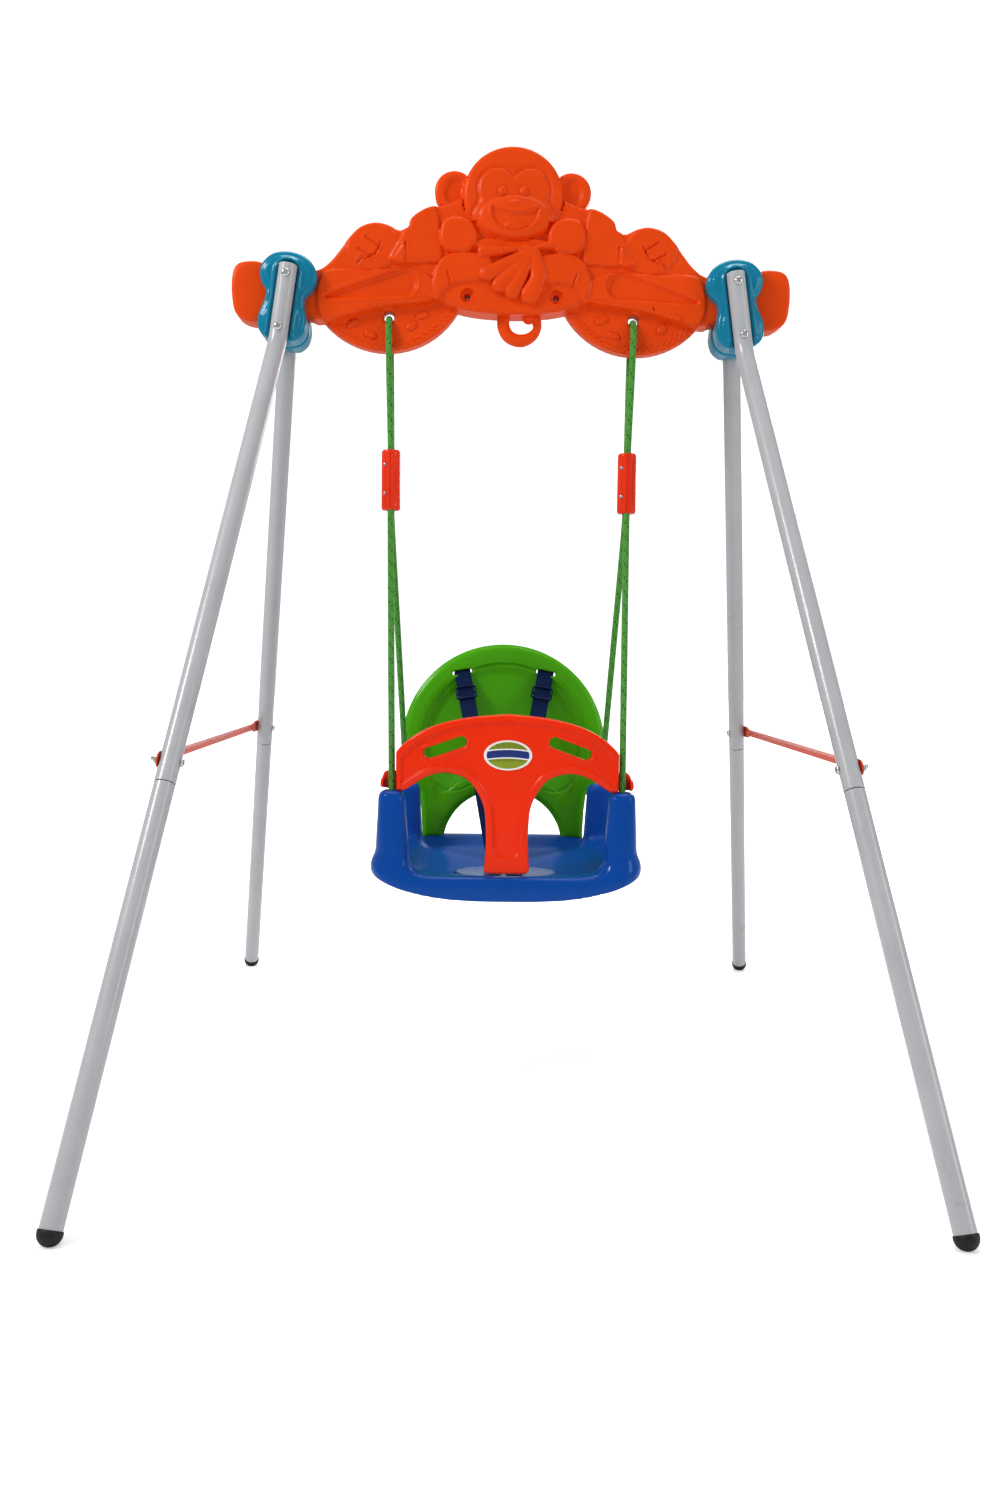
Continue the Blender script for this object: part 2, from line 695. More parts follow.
def number_of(label, value, about, **limits):
    return bpy.props.FloatProperty(name=label, description=about, default=value, **limits)


def length_of(label, value, about):
    return number_of(label, value, about, min=0.0001, unit="LENGTH")


class SwingFrameSettings(bpy.types.PropertyGroup):
    leg_radius: length_of("Leg radius", 0.0127, "Outer radius of the leg tubes")
    tube_wall: length_of("Tube wall", 0.0011, "Wall thickness of the leg tubes")
    cap_radius: length_of("Cap radius", 0.0136, "Radius of the domed foot caps")
    brace_height: length_of("Brace height", 0.011, "Height of a brace between its end plates")
    brace_plate: length_of("Brace plate height", 0.019, "Height of a brace's flattened ends")
    bolt_head: length_of("Bolt head radius", 0.0056, "Radius of the bolt heads")
    leg_colour: colour_of("Leg paint", (0.50, 0.51, 0.53), "Powder coat of the legs")
    brace_colour: colour_of("Brace paint", (0.80, 0.085, 0.035), "Powder coat of the braces")
    bracket_colour: colour_of("Bracket", (0.004, 0.235, 0.375), "Plastic of the beam brackets")
    cap_colour: colour_of("Foot cap", (0.008, 0.008, 0.009), "Rubber of the foot caps")
    bolt_colour: colour_of("Hardware", (0.72, 0.72, 0.73), "Plating of bolts and nuts")


class SwingBeamSettings(bpy.types.PropertyGroup):
    grid: length_of("Grid", 0.00175, "Spacing of the points of the moulded relief")
    edge: length_of("Edge radius", 0.0045, "Rounding of the beam's outline")
    body: length_of("Half thickness", 0.020, "Half the thickness of the beam's ground")
    slice: length_of("Slice half thickness", 0.0105, "Half the thickness of the fruit-slice discs")
    hole_radius: length_of("Rope hole radius", 0.0072, "Radius of the rope holes")
    colour: colour_of("Beam", (0.86, 0.085, 0.003), "Plastic of the beam")


class SwingSeatSettings(bpy.types.PropertyGroup):
    rope_radius: length_of("Rope radius", 0.0046, "Radius of the swing ropes")
    pan_step: length_of("Pan grid", 0.0026, "Spacing of the points of the seat pan")
    webbing_width: length_of("Webbing width", 0.025, "Width of the harness webbing")
    webbing_thickness: length_of("Webbing thickness", 0.0015, "Thickness of the harness webbing")
    pan_colour: colour_of("Seat pan", (0.0, 0.085, 0.40), "Plastic of the seat pan")
    back_colour: colour_of("Backrest", (0.085, 0.42, 0.004), "Plastic of the backrest")
    bar_colour: colour_of("Guard bar", (0.95, 0.040, 0.0), "Plastic of the guard bar")
    adjuster_colour: colour_of("Adjuster", (0.88, 0.05, 0.012), "Plastic of the rope adjusters")
    rope_light: colour_of("Rope", (0.115, 0.45, 0.06), "Main yarns of the ropes")
    rope_dark: colour_of("Rope tracer", (0.012, 0.13, 0.012), "Dark yarns of the ropes")
    webbing_colour: colour_of("Webbing", (0.002, 0.02, 0.10), "Harness webbing")
    slider_colour: colour_of("Slider", (0.006, 0.014, 0.07), "Plastic of the strap sliders")
    thread_colour: colour_of("Thread", (0.02, 0.05, 0.22), "Stitching of the anchor pad")
    badge_ground: colour_of("Badge", (0.235, 0.30, 0.012), "Ground of the oval badge")
    badge_band: colour_of("Badge band", (0.01, 0.03, 0.22), "Band across the oval badge")


class SwingStageSettings(bpy.types.PropertyGroup):
    lens: number_of("Lens", 30.0, "Focal length, mm", min=8.0)
    eye: bpy.props.FloatVectorProperty(
        name="Camera", description="Camera position", size=3, subtype="TRANSLATION", unit="LENGTH",
        default=(-0.0396, -1.8007, 0.6093),
    )
    yaw: number_of("Yaw", 0.0176, "Turn towards +X", unit="ROTATION")
    pitch: number_of("Pitch", 0.0798, "Turn down", unit="ROTATION")
    roll: number_of("Roll", 0.013, "Lean to the left", unit="ROTATION")
    ambient: number_of("Ambient", 0.40, "Strength of the soft surrounding light", min=0.0)
    key: number_of("Key light", 44.0, "Power of the main light, W", min=0.0)
    floor_colour: colour_of("Floor", (0.93, 0.93, 0.93), "Studio floor")


def settings():
    return bpy.context.scene.swing_set


class SwingSetSettings(bpy.types.PropertyGroup):
    frame: bpy.props.PointerProperty(type=SwingFrameSettings, name="Frame", description="The A-frame")
    beam: bpy.props.PointerProperty(type=SwingBeamSettings, name="Beam", description="The moulded beam")
    seat: bpy.props.PointerProperty(type=SwingSeatSettings, name="Seat", description="The hanging seat")
    stage: bpy.props.PointerProperty(type=SwingStageSettings, name="Stage", description="Camera and lights")


# ------------------------------------------------------------ stage
FLOOR_HALF = 14.0


def aimed(name, at, target, size, power):
    lamp = bpy.data.lights.new(name, "AREA")
    lamp.shape = "RECTANGLE"
    lamp.size, lamp.size_y = size
    lamp.energy = power
    light = placed(name, lamp)
    light.location = at
    light.rotation_euler = (Vector(target) - Vector(at)).to_track_quat("-Z", "Y").to_euler()


class SWING_OT_stage(bpy.types.Operator):
    """Make the camera, the soft lights and the pale floor"""

    bl_idname = "swing.stage"
    bl_label = "Stage"

    def execute(self, context):
        s = settings().stage
        scene = context.scene
        scene.view_settings.view_transform = "Standard"
        scene.view_settings.look = "Medium High Contrast"
        data = bpy.data.cameras.new("camera")
        data.lens, data.sensor_width = s.lens, 36.0
        camera = placed("camera", data)
        forward = Vector((math.sin(s.yaw), math.cos(s.yaw), 0))
        right = Vector((math.cos(s.yaw), -math.sin(s.yaw), 0))
        up = Vector((0, 0, math.cos(s.pitch))) + forward * math.sin(s.pitch)
        forward = forward * math.cos(s.pitch) - Vector((0, 0, math.sin(s.pitch)))
        side = right * math.cos(s.roll) + up * math.sin(s.roll)
        up = up * math.cos(s.roll) - right * math.sin(s.roll)
        turn = Matrix((side, up, -forward)).transposed()
        camera.matrix_world = Matrix.LocRotScale(Vector(s.eye), turn.to_quaternion(), None)
        scene.camera = camera

        world = bpy.data.worlds.new("studio")
        world.use_nodes = True
        nodes, links = world.node_tree.nodes, world.node_tree.links
        seen = nodes.new("ShaderNodeLightPath").outputs["Is Camera Ray"]
        level = nodes.new("ShaderNodeMapRange")
        level.inputs["To Min"].default_value = s.ambient
        level.inputs["To Max"].default_value = 1.0
        links.new(seen, level.inputs["Value"])
        nodes["Background"].inputs[0].default_value = (1, 1, 1, 1)
        links.new(level.outputs[0], nodes["Background"].inputs[1])
        scene.world = world
        aimed("key_light", (-2.5, -1.5, 2.7), (0, 0, 0.8), (0.9, 0.9), s.key)
        aimed("fill_light", (2.8, -1.5, 1.5), (0, 0, 0.7), (0.9, 1.6), s.key * 0.32)
        aimed("top_light", (0.2, 0.5, 3.4), (0, 0, 0.8), (2.4, 1.6), s.key * 0.75)
        aimed("rim_light", (1.6, 2.6, 2.0), (0, 0, 0.9), (1.4, 1.6), s.key * 0.5)

        mesh = bpy.data.meshes.new("floor")
        corners = [(x * FLOOR_HALF, y * FLOOR_HALF, 0) for x, y in ((-1, -1), (1, -1), (1, 1), (-1, 1))]
        mesh.from_pydata(corners, [], [(0, 1, 2, 3)])
        mesh.materials.append(studio_floor("studio_floor", tuple(s.floor_colour)))
        placed("floor", mesh)
        return {"FINISHED"}


# ------------------------------------------------------------ ropes
def strand_x(z, low, post_top):
    """A strand leans in from the hole to the adjuster and again from there to its post."""
    clamp_low, clamp_high, clamp_x = ADJUSTER
    if z > clamp_high:
        share = (HOLE[1] - z) / (HOLE[1] - clamp_high)
        return HOLE[0] + (clamp_x - HOLE[0]) * share
    if z > clamp_low:
        return clamp_x
    share = min(1.0, (clamp_low - z) / (clamp_low - post_top))
    return clamp_x + share * (low - clamp_x)


def rope_route(side):
    """One rope from its front knot, up over the beam's lip and down to its rear knot."""
    loop = [(-y, z) for y, z in reversed(LOOP_HALF[1:])] + list(LOOP_HALF)
    front = [(side * strand_x(z, FRONT_POST[0], FRONT_POST[2]), y, z) for y, z in reversed(FRONT_STRAND)]
    over = [(side * strand_x(z, 0, 0), y, z) for y, z in loop]
    rear = [(side * strand_x(z, REAR_POST[0], REAR_POST[2]), y, z) for y, z in REAR_STRAND]
    return front + over + rear


def braid(path, radius, yarns=8, lay=5.2, sides=32):
    """A braided cord: its surface swells over each diamond of yarn."""
    _, side, up = frames_along(path, (1, 0, 0))
    turn = np.linspace(0, 2 * math.pi, sides, endpoint=False)
    run = np.concatenate(([0], np.cumsum(np.linalg.norm(np.diff(path, axis=0), axis=1))))
    around = np.arange(sides) / sides * yarns
    a = around[None, :] + run[:, None] / lay
    b = around[None, :] - run[:, None] / lay
    swell = np.sqrt(np.abs(np.sin(math.pi * a)) * np.abs(np.sin(math.pi * b)))
    r = radius * (0.9 + 0.1 * swell)
    rings = (
        path[:, None, :]
        + (r * np.cos(turn))[:, :, None] * side[:, None, :]
        + (r * np.sin(turn))[:, :, None] * up[:, None, :]
    )
    points, faces = skin(rings)
    step = yarns / sides
    uvs = []
    for i in range(len(path) - 1):
        for j in range(sides):
            cell = ((i, j), (i, j + 1), (i + 1, j + 1), (i + 1, j))
            uvs.append([(c * step + run[r] / lay, c * step - run[r] / lay) for r, c in cell])
    uvs += [[(0.5, 0.5)] * sides] * 2
    return (points, faces), uvs


def knot(radius):
    """An overhand knot pulled tight, centred on the origin."""
    turn = np.linspace(0, 2 * math.pi, 60, endpoint=False)
    path = np.column_stack(
        (
            (np.sin(turn) + 2 * np.sin(2 * turn)),
            (np.cos(turn) - 2 * np.cos(2 * turn)),
            -np.sin(3 * turn) * 1.1,
        )
    )
    path = path * 2.0
    return sweep(np.vstack((path, path[:1])), circle(radius * 0.85, 14))


class SWING_OT_ropes(bpy.types.Operator):
    """Make the two braided ropes and the knots at their ends"""

    bl_idname = "swing.ropes"
    bl_label = "Ropes"

    def execute(self, context):
        s = settings().seat
        radius = s.rope_radius / MM
        yarn = braided_cord("braided_rope", tuple(s.rope_light), tuple(s.rope_dark))
        for side, hand in HANDS:
            path = smooth_path(rope_route(side), 1.15)
            made, uvs = braid(path, radius)
            rope = make_piece(f"rope_{hand}", Shell().add(made, uvs), yarn, sharp=80)
            for end, (x, y, _) in (("front", FRONT_POST), ("rear", REAR_POST)):
                place = Matrix.Translation((side * x, y, KNOT_SEAT - KNOT_DROP))
                shell = Shell().add(carried(knot(radius), place))
                name = f"rope_knot_{hand}_{end}"
                make_piece(f"tied_{name}", shell, yarn, "swing", [name])
            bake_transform(rope)
            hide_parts(f"rope_loop_{hand}", f"rope_front_{hand}", f"rope_rear_{hand}")
        return {"FINISHED"}


# ------------------------------------------------------------ legs, caps, braces
def leaned(side):
    """Puts points of a side frame, made upright, in their place."""
    c, s = math.cos(-side * SIDE_LEAN), math.sin(-side * SIDE_LEAN)

    def change(p):
        x, y, z = p.T
        return np.column_stack((side * FOOT_SPAN + x * c + z * s, y, -x * s + z * c))

    return change


def leg_point(front, height):
    return np.array((0.0, front * (LEG_AXIS + (LEG_BEND - height) * math.tan(LEG_SLOPE)), height))


def upper_leg_line(front):
    tangent = BEND_RADIUS * math.tan(LEG_SLOPE / 2)
    line = [(0.0, front * LEG_AXIS, h) for h in np.linspace(LEG_TOP, LEG_BEND + tangent + 2, 8)]
    for turn in np.linspace(0, LEG_SLOPE, 22):
        out = BEND_RADIUS * (1 - math.cos(turn))
        line.append((0.0, front * (LEG_AXIS + out), LEG_BEND + tangent - BEND_RADIUS * math.sin(turn)))
    line += [tuple(leg_point(front, h)) for h in np.linspace(LEG_BEND - tangent - 14, LEG_SEAM, 10)]
    return np.array(line)


def tube_with_ends(line, radius, wall, top_depth, sides=44):
    """A tube whose first end is open to a depth and whose last end has a rolled edge."""
    lip = 0.5
    direction = (line[1] - line[0]) / np.linalg.norm(line[1] - line[0])
    end = (line[-1] - line[-2]) / np.linalg.norm(line[-1] - line[-2])
    path = [line[0] + direction * top_depth, line[0] + direction * 0.4, line[0], line[0] + direction * lip]
    radii = [radius - wall, radius - wall, radius - wall / 2, radius]
    path += list(line[2:-1]) + [line[-1] - end * lip, line[-1]]
    radii += [radius] * (len(line) - 3) + [radius, radius - lip]
    _, side, up = frames_along(line, (1, 0, 0))
    frames = [(side[0], up[0])] * 4 + list(zip(side[2:-1], up[2:-1])) + [(side[-1], up[-1])] * 2
    rings = [p + circle(r, sides) @ np.array(f) for p, r, f in zip(path, radii, frames)]
    return skin(rings)


def cap_shape(radius):
    """A foot cap: a dome below the origin and a short collar with a rolled edge above it."""
    bowl = [(radius * math.sin(t), -radius * math.cos(t)) for t in np.linspace(0, math.pi / 2, 14)]
    collar = [(radius, 2.2), (radius - 0.5, 2.9), (radius - 1.4, 3.1), (0, 3.1)]
    return turned(bowl + collar, 48)


class SWING_OT_legs(bpy.types.Operator):
    """Make the four two-part legs and their domed foot caps"""

    bl_idname = "swing.legs"
    bl_label = "Legs"

    def execute(self, context):
        s = settings().frame
        radius, wall, cap_radius = s.leg_radius / MM, s.tube_wall / MM, s.cap_radius / MM
        paint = powder_coat("leg_powder_coat", tuple(s.leg_colour))
        rubber = black_rubber("cap_rubber", tuple(s.cap_colour))
        for side, hand in HANDS:
            for front, end in ENDS:
                place = leaned(side)
                upper = Shell().add(tube_with_ends(upper_leg_line(front), radius, wall, 24)).moved(place)
                name = f"upper_leg_{hand}_{end}"
                make_piece(f"{name}_tube", upper, paint, "frame", [name])
                line = np.array([leg_point(front, h) for h in np.linspace(LEG_SEAM - 0.8, CAP_CENTRE + 1, 9)])
                lower = Shell().add(tube_with_ends(line, radius - 0.15, wall, 0.6)).moved(place)
                name = f"lower_leg_{hand}_{end}"
                make_piece(f"{name}_tube", lower, paint, "frame", [name])
                tilt = Matrix.Rotation(front * LEG_SLOPE, 4, "X")
                move = Matrix.Translation(Vector(leg_point(front, CAP_CENTRE)))
                cap = Shell().add(carried(cap_shape(cap_radius), move @ tilt)).moved(place)
                cap.moved(lambda p: np.column_stack((p[:, 0], p[:, 1], np.maximum(p[:, 2], 0.05))))
                name = f"foot_cap_{hand}_{end}"
                make_piece(f"domed_{name}", cap, rubber, "frame", [name])
        return {"FINISHED"}


def brace_band(side, low, high, thick, inner):
    """A creased strip between two flattened plates with round ends, along Y."""
    plate_length, round_length, neck = 34.0, 9.0, 22.0
    end = leg_point(1, BRACE_HEIGHT)[1] - 6 + plate_length / 2
    ends = end - round_length + round_length * np.sin(np.linspace(0, math.pi / 2, 12))
    ys = np.concatenate((-ends[::-1], np.linspace(-end + 12, end - 12, 120), ends))
    shares = np.linspace(-1, 1, 15)
    rings = []
    for y in np.unique(np.round(ys, 3)):
        flat = fade(end - plate_length - abs(y), neck)
        past = max(0.0, abs(y) - (end - round_length)) / round_length
        half = low / 2 + (high - low) / 2 * flat
        half *= math.sqrt(max(0.0, 1 - past**2)) * 0.98 + 0.02
        crease = 2.6 * (1 - flat)
        ring = []
        for t in shares:
            edge = abs(t) > 0.98
            ring.append((inner + thick + crease * (1 - abs(t)) - 0.5 * edge, y, BRACE_HEIGHT + half * t))
        for t in shares[::-1]:
            edge = abs(t) > 0.98
            ring.append((inner + crease * (1 - abs(t)) + 0.3 * edge, y, BRACE_HEIGHT + half * t))
        rings.append(np.array(ring) * (side, 1, 1))
    return skin(rings)


class SWING_OT_braces(bpy.types.Operator):
    """Make the creased brace between the legs of each side"""

    bl_idname = "swing.braces"
    bl_label = "Braces"

    def execute(self, context):
        s = settings().frame
        paint = powder_coat("brace_powder_coat", tuple(s.brace_colour), 0.3)
        for side, hand in HANDS:
            made = brace_band(side, s.brace_height / MM, s.brace_plate / MM, 2.0, s.leg_radius / MM + 0.3)
            shell = Shell().add(made).moved(leaned(side))
            name = f"brace_{hand}"
            make_piece(f"creased_{name}", shell, paint, "frame", [name])
        return {"FINISHED"}


# ------------------------------------------------------------ beam
# The right half of the beam's body, without its head, ears and discs, from the top down.
BODY_HALF = (
    (0, 1255), (60, 1236), (96, 1221), (114, 1218), (129, 1211), (141, 1201), (145, 1190), (157, 1187),
    (172, 1193), (190, 1196), (210, 1190), (226, 1175), (240, 1157), (254, 1141), (270, 1131),
    (300, 1128), (330, 1134), (352, 1141), (374, 1140), (384, 1133), (388, 1117), (388, 1095),
    (384, 1073), (372, 1062), (352, 1059), (330, 1068), (305, 1072), (280, 1067), (262, 1065),
    (171, 1085), (116, 1094), (92, 1086), (60, 1079), (30, 1076), (0, 1075),
)
# The two fruit-slice discs, the screw wells and the ears: x, z and radius.
# The head: its centre and its half sizes.
DISC = (175.0, 1141.0, 117.0)
WELL = (62.0, 1099.0, 3.4)
EAR = (81.0, 1242.0, 27.5)
HEAD = (0, 1234, 69, 66)

# Raised parts of the drawing, as outlines.
ARM = (
    (262, 1126), (200, 1131), (140, 1134), (108, 1120), (104, 1100), (118, 1090), (180, 1082), (262, 1066),
)
LOBED_LEAF = (
    (106, 1217), (126, 1214), (143, 1202), (147, 1190), (160, 1168), (170, 1146),
    (150, 1141), (120, 1142), (98, 1150),
)
SMALL_LEAF = ((172, 1146), (163, 1150), (150, 1170), (147, 1160), (148, 1144), (158, 1140))
THIGH = (
    (102, 1091), (110, 1107), (109, 1128), (99, 1147), (82, 1157), (60, 1158), (30, 1150), (30, 1128),
    (46, 1118), (66, 1116), (84, 1112), (95, 1103),
)
HAND = (
    (50, 1186), (61, 1200), (80, 1204), (95, 1198), (101, 1180),
    (97, 1163), (82, 1156), (62, 1158), (50, 1170),
)

# Pressed lines: the veins of the leaves and the folds of the legs.
VEINS = (
    ((205, 1146), (190, 1153), (182, 1168)), ((196, 1150), (214, 1160)), ((184, 1163), (203, 1176)),
    ((214, 1140), (206, 1150)), ((86, 1112), (86, 1120), (90, 1129)), ((148, 1168), (149, 1146)),
)

# The bunch of fruit: each finger's middle line, and its radius where it starts and at its tip.
FINGERS = (
    (((12, 1163), (-14, 1160), (-40, 1158)), 4, 9), (((20, 1157), (-8, 1142), (-34, 1128)), 6.5, 11),
    (((22, 1155), (3, 1133), (-17, 1113)), 6.5, 11.5), (((25, 1155), (13, 1128), (0, 1105)), 6.5, 11.5),
    (((31, 1154), (36, 1125), (25, 1101)), 9, 13.5), (((32, 1164), (44, 1166), (54, 1168)), 3.5, 6),
)

# The seeds of the fruit slices: x, z and lean in radians.
SEEDS = (
    (-221, 1061, 0.5), (-196, 1046, -0.3), (-139, 1059, 0.7), (-124, 1074, 0.2),
    (127, 1071, 0.5), (144, 1050, -0.3), (211, 1060, 0.9), (228, 1072, 0.1),
)


def slice_field(x, z):
    """The lower parts of the two discs, cut off along their chords."""
    chord = z - (1087 - 0.10 * np.abs(np.abs(x) - 75))
    return np.maximum(to_pair(x, z, DISC), chord - 14)


def hole_field(x, z, radius):
    return np.minimum(to_pair(x, z, (*HOLE, radius)), to_pair(x, z, WELL))


class BeamRelief:
    """The outline and the raised drawing of the beam; x and z in millimetres."""

    def __init__(self, body, slice_half, hole_radius):
        self.body, self.slice_half, self.hole_radius = body, slice_half, hole_radius
        self.outline = smooth_loop(mirrored(BODY_HALF), 6)

    def pad(self, h, region, height, edge):
        """The relief h with a pad over the region, its height taken from the beam's ground."""
        return np.maximum(h, raised(region, self.body + height, edge))

    def outside(self, x, z):
        """Signed distance to the whole silhouette."""
        body = to_outline(x, z, self.outline)
        head = to_ellipse(x, z, *HEAD)
        solid = np.minimum(np.minimum(body, head), np.minimum(to_pair(x, z, EAR), slice_field(x, z)))
        return np.maximum(solid, -hole_field(x, z, self.hole_radius))

    def ground(self, x, z):
        """Half thickness of the plain shape, the same front and back, with the slices' ticked rinds."""
        body = to_outline(x, z, self.outline)
        disc = to_pair(x, z, DISC)
        h = np.maximum(self.slice_half, raised(body, self.body, 6))
        low = ramp((1082 - z) / 4)
        h = h + 2.4 * fade(np.abs(disc + 8) - 3.5, 2.5) * ramp(body / 3) * low
        turn = np.degrees(np.arctan2(z - DISC[1], np.abs(x) - DISC[0]))
        tick = ridge(((turn + 0.9 * disc) / 5.2) % 1 - 0.5, 0.2)
        band = np.exp(-(((disc + 9) / 5.0) ** 4))
        return h - 2.0 * tick * band * ramp(body / 3)

    def arms(self, x, z, h):
        """The long arms with their recessed panels, the lobed leaves over them and the thighs."""
        ax = np.abs(x)
        arm = to_shape(ax, z, ARM)
        h = self.pad(h, arm, 3.5, 3.5)
        panel = to_capsule(ax, z, (258, 1094), (150, 1115), 3, 19)
        h = h - 5.0 * fade(panel + 4, 5) * ramp(-arm / 4) + 1.0 * ridge(panel - 2.5, 2.2) * (arm < 0)
        leaf = np.maximum(to_ellipse(ax, z, 192, 1163, 37, 32), -(z - (1131 - 0.08 * (ax - 190))))
        h = self.pad(h, leaf, 2.5, 4)
        for points, height, edge in ((LOBED_LEAF, 4.5, 4), (SMALL_LEAF, 7, 3.5), (THIGH, 6.5, 5)):
            h = self.pad(h, to_shape(ax, z, points), height, edge)
        for line in VEINS:
            d = to_line(ax, z, line)
            h = h - 2.2 * ridge(d, 1.5) + 0.9 * ridge(d - 3.2, 1.4)
        return h

    def head(self, x, z, h):
        """A plain smiling animal face between round ears."""
        ear = to_pair(x, z, EAR)
        recess = np.hypot(np.abs(x) - EAR[0] + 2, (z - EAR[1] + 1) / 1.15)
        rounded = raised(ear, 15.5, 6) - 4.6 * fade(recess - 14, 4)
        h = np.where(ear < 3, np.maximum(np.minimum(h, 12), rounded), h)
        hair = to_ellipse(x, z, *HEAD)
        h = self.pad(h, hair, 2 + 5.0 * dome(np.hypot(x, z - HEAD[1]) / 74), 6)
        brow = soft_min(to_ellipse(x, z, -22, 1242, 27, 29), to_ellipse(x, z, 24, 1242, 27, 29), 5.0)
        face = soft_min(brow, to_ellipse(x, z, 2, 1206, 58, 33), 8.0)
        h = h - 2.4 * ridge(face, 2.6) * (hair < -2) + 1.2 * fade(face + 3, 4)
        muzzle = to_ellipse(x, z, 3, 1204, 50, 28)
        h = h + 8.0 * dome(np.hypot((x - 3) / 52, (z - 1203) / 31)) * fade(muzzle + 1, 2)
        for eye_x in (-15.0, 15.0):
            r = np.hypot(x - eye_x, (z - 1238) / 1.12)
            h = h + 2.6 * dome(r / 5.6) - 1.0 * ridge(r - 6.8, 1.3)
        nose = to_ellipse(x, z, 1, 1221, 7, 3.2)
        h = h + 2.0 * fade(nose + 2, 2.5)
        mouth = np.maximum(to_ellipse(x, z, 3, 1211, 33, 27), z - (1208 + 0.0084 * (x - 3) ** 2))
        h = h - 3.6 * fade(mouth + 2.5, 3) + 0.8 * ridge(mouth - 1.6, 1.3)
        tongue = np.maximum(to_ellipse(x, z, 4, 1188, 16, 11), mouth + 2)
        h = h + 2.2 * fade(tongue + 2.5, 3)
        for cheek_x in (-44.0, 46.0):
            for k in range(3):
                freckle = ((cheek_x - 4 + 4 * k, 1211), (cheek_x + 4 * k - 1, 1217))
                h = h + 0.8 * ridge(to_line(x, z, freckle), 1.0)
        return h

    def body_drawing(self, x, z, h):
        """Hands, the bunch of fruit between them, the belly, the screw wells, seeds and end knobs."""
        for side in (-1, 1):
            hand = to_shape(x, z, [(side * px, pz) for px, pz in HAND])
            h = self.pad(h, hand, 10, 6)
        belly = np.maximum(to_ellipse(x, z, 0, 1112, 112, 37), z - 1124)
        h = self.pad(h, belly, 2.0, 5)
        h = self.pad(h, to_ellipse(x, z, 0, 1168, 56, 10), 6, 3)
        for line, ra, rb in FINGERS:
            d = to_line(x, z, smooth_path(line, 6.0))
            along = np.hypot(x - line[0][0], z - line[0][1]) / math.dist(line[0], line[-1])
            thick = ra + (rb - ra) * np.clip(along, 0, 1)
            rise = 5.0 + 6.5 * dome(d / (thick + 0.5))
            h = np.maximum(h, self.body + rise - 14 * ramp((d - thick + 0.8) / 1.8))
        h = self.pad(h, to_capsule(x, z, (17, 1164), (31, 1158), 4, 6), 12, 4)
        for side in (-1, 1):
            h = h - 1.8 * ridge(to_line(x, z, ((side * 104, 1100), (side * 97, 1088))), 1.6)
        well = np.hypot(np.abs(x) - WELL[0], z - WELL[1])
        h = h - 9.0 * fade(well - 6.8, 2.6) + 0.8 * ridge(well - 10, 1.5)
        for sx, sz, lean in SEEDS:
            seed = to_ellipse(x, z, sx, sz, 9.5, 5.2, lean)
            h = h + 2.4 * fade(seed + 2.2, 2.6) - 1.2 * ridge(seed, 1.2)
            c, s = 5 * math.cos(lean), 5 * math.sin(lean)
            h = h - 0.8 * ridge(to_line(x, z, ((sx - c, sz - s), (sx + c, sz + s))), 0.9)
        knob = to_ellipse(np.abs(x), z, 352, 1100, 44, 44) < 0
        return h + 2.5 * dome(np.hypot(np.abs(x) - 350, z - 1100) / 44) * knob

    def front(self, x, z):
        h = self.body_drawing(x, z, self.arms(x, z, self.ground(x, z)))
        head = to_ellipse(x, z, *HEAD)
        near = np.minimum(head, to_pair(x, z, EAR)) < 1.5
        hands_clear = ~((z < 1199) & (np.abs(x) > 50) & (np.abs(x) < 97))
        shoulder = to_outline(x, z, self.outline) < -1
        ear_only = (head > 1.5) & shoulder
        return -np.where(near & hands_clear & ~ear_only, self.head(x, z, h), h)

    def back(self, x, z):
        """The back keeps the big forms and leaves the drawing out."""
        ax = np.abs(x)
        h = np.maximum(self.ground(x, z), raised(to_pair(x, z, EAR), 13.5, 6))
        h = self.pad(h, to_ellipse(x, z, *HEAD), 4, 6)
        h = h - 3.0 * fade(to_capsule(ax, z, (252, 1097), (125, 1116), 9, 20) + 4, 5)
        h = self.pad(h, to_ellipse(ax, z, 192, 1166, 33, 26), 2, 4)
        return self.pad(h, to_ellipse(x, z, 0, 1112, 108, 36), 2.5, 5)


def curled_tail():
    """The round tail that turns up under the middle of the beam and curls in without closing."""
    line = (
        (-9, 1086), (-11, 1074), (-10.5, 1062), (-4.5, 1050.5), (4, 1045.3), (13.5, 1043.7),
        (23, 1046), (32, 1052.5), (36.6, 1061), (36, 1069), (31.5, 1074.5), (24, 1075.5), (15.5, 1074.5),
    )
    path = smooth_path([(x, 0, z) for x, z in line], 1.2)
    run = np.linspace(0, 1, len(path))
    radius = np.interp(run, (0, 0.5, 0.72, 0.8, 0.92, 1), (8.0, 8.0, 5.3, 6.0, 8.4, 8.4))
    end = np.sqrt(np.clip(1 - (np.clip(run - 0.93, 0, 1) / 0.072) ** 2, 0, 1))
    section = [circle(r, 22, 1.1) for r in radius * end]
    return sweep(path, section, (0, 1, 0))


def hair_curl(side):
    """A thin raised curl on the front of an ear."""
    turn = np.linspace(math.radians(-15), math.radians(200), 22)
    x, z = side * (64 - 10 * np.cos(turn)), 1246 + 11 * np.sin(turn)
    return sweep(np.column_stack((x, np.full(22, -4.0), z)), circle(1.5, 10), (0, 1, 0))


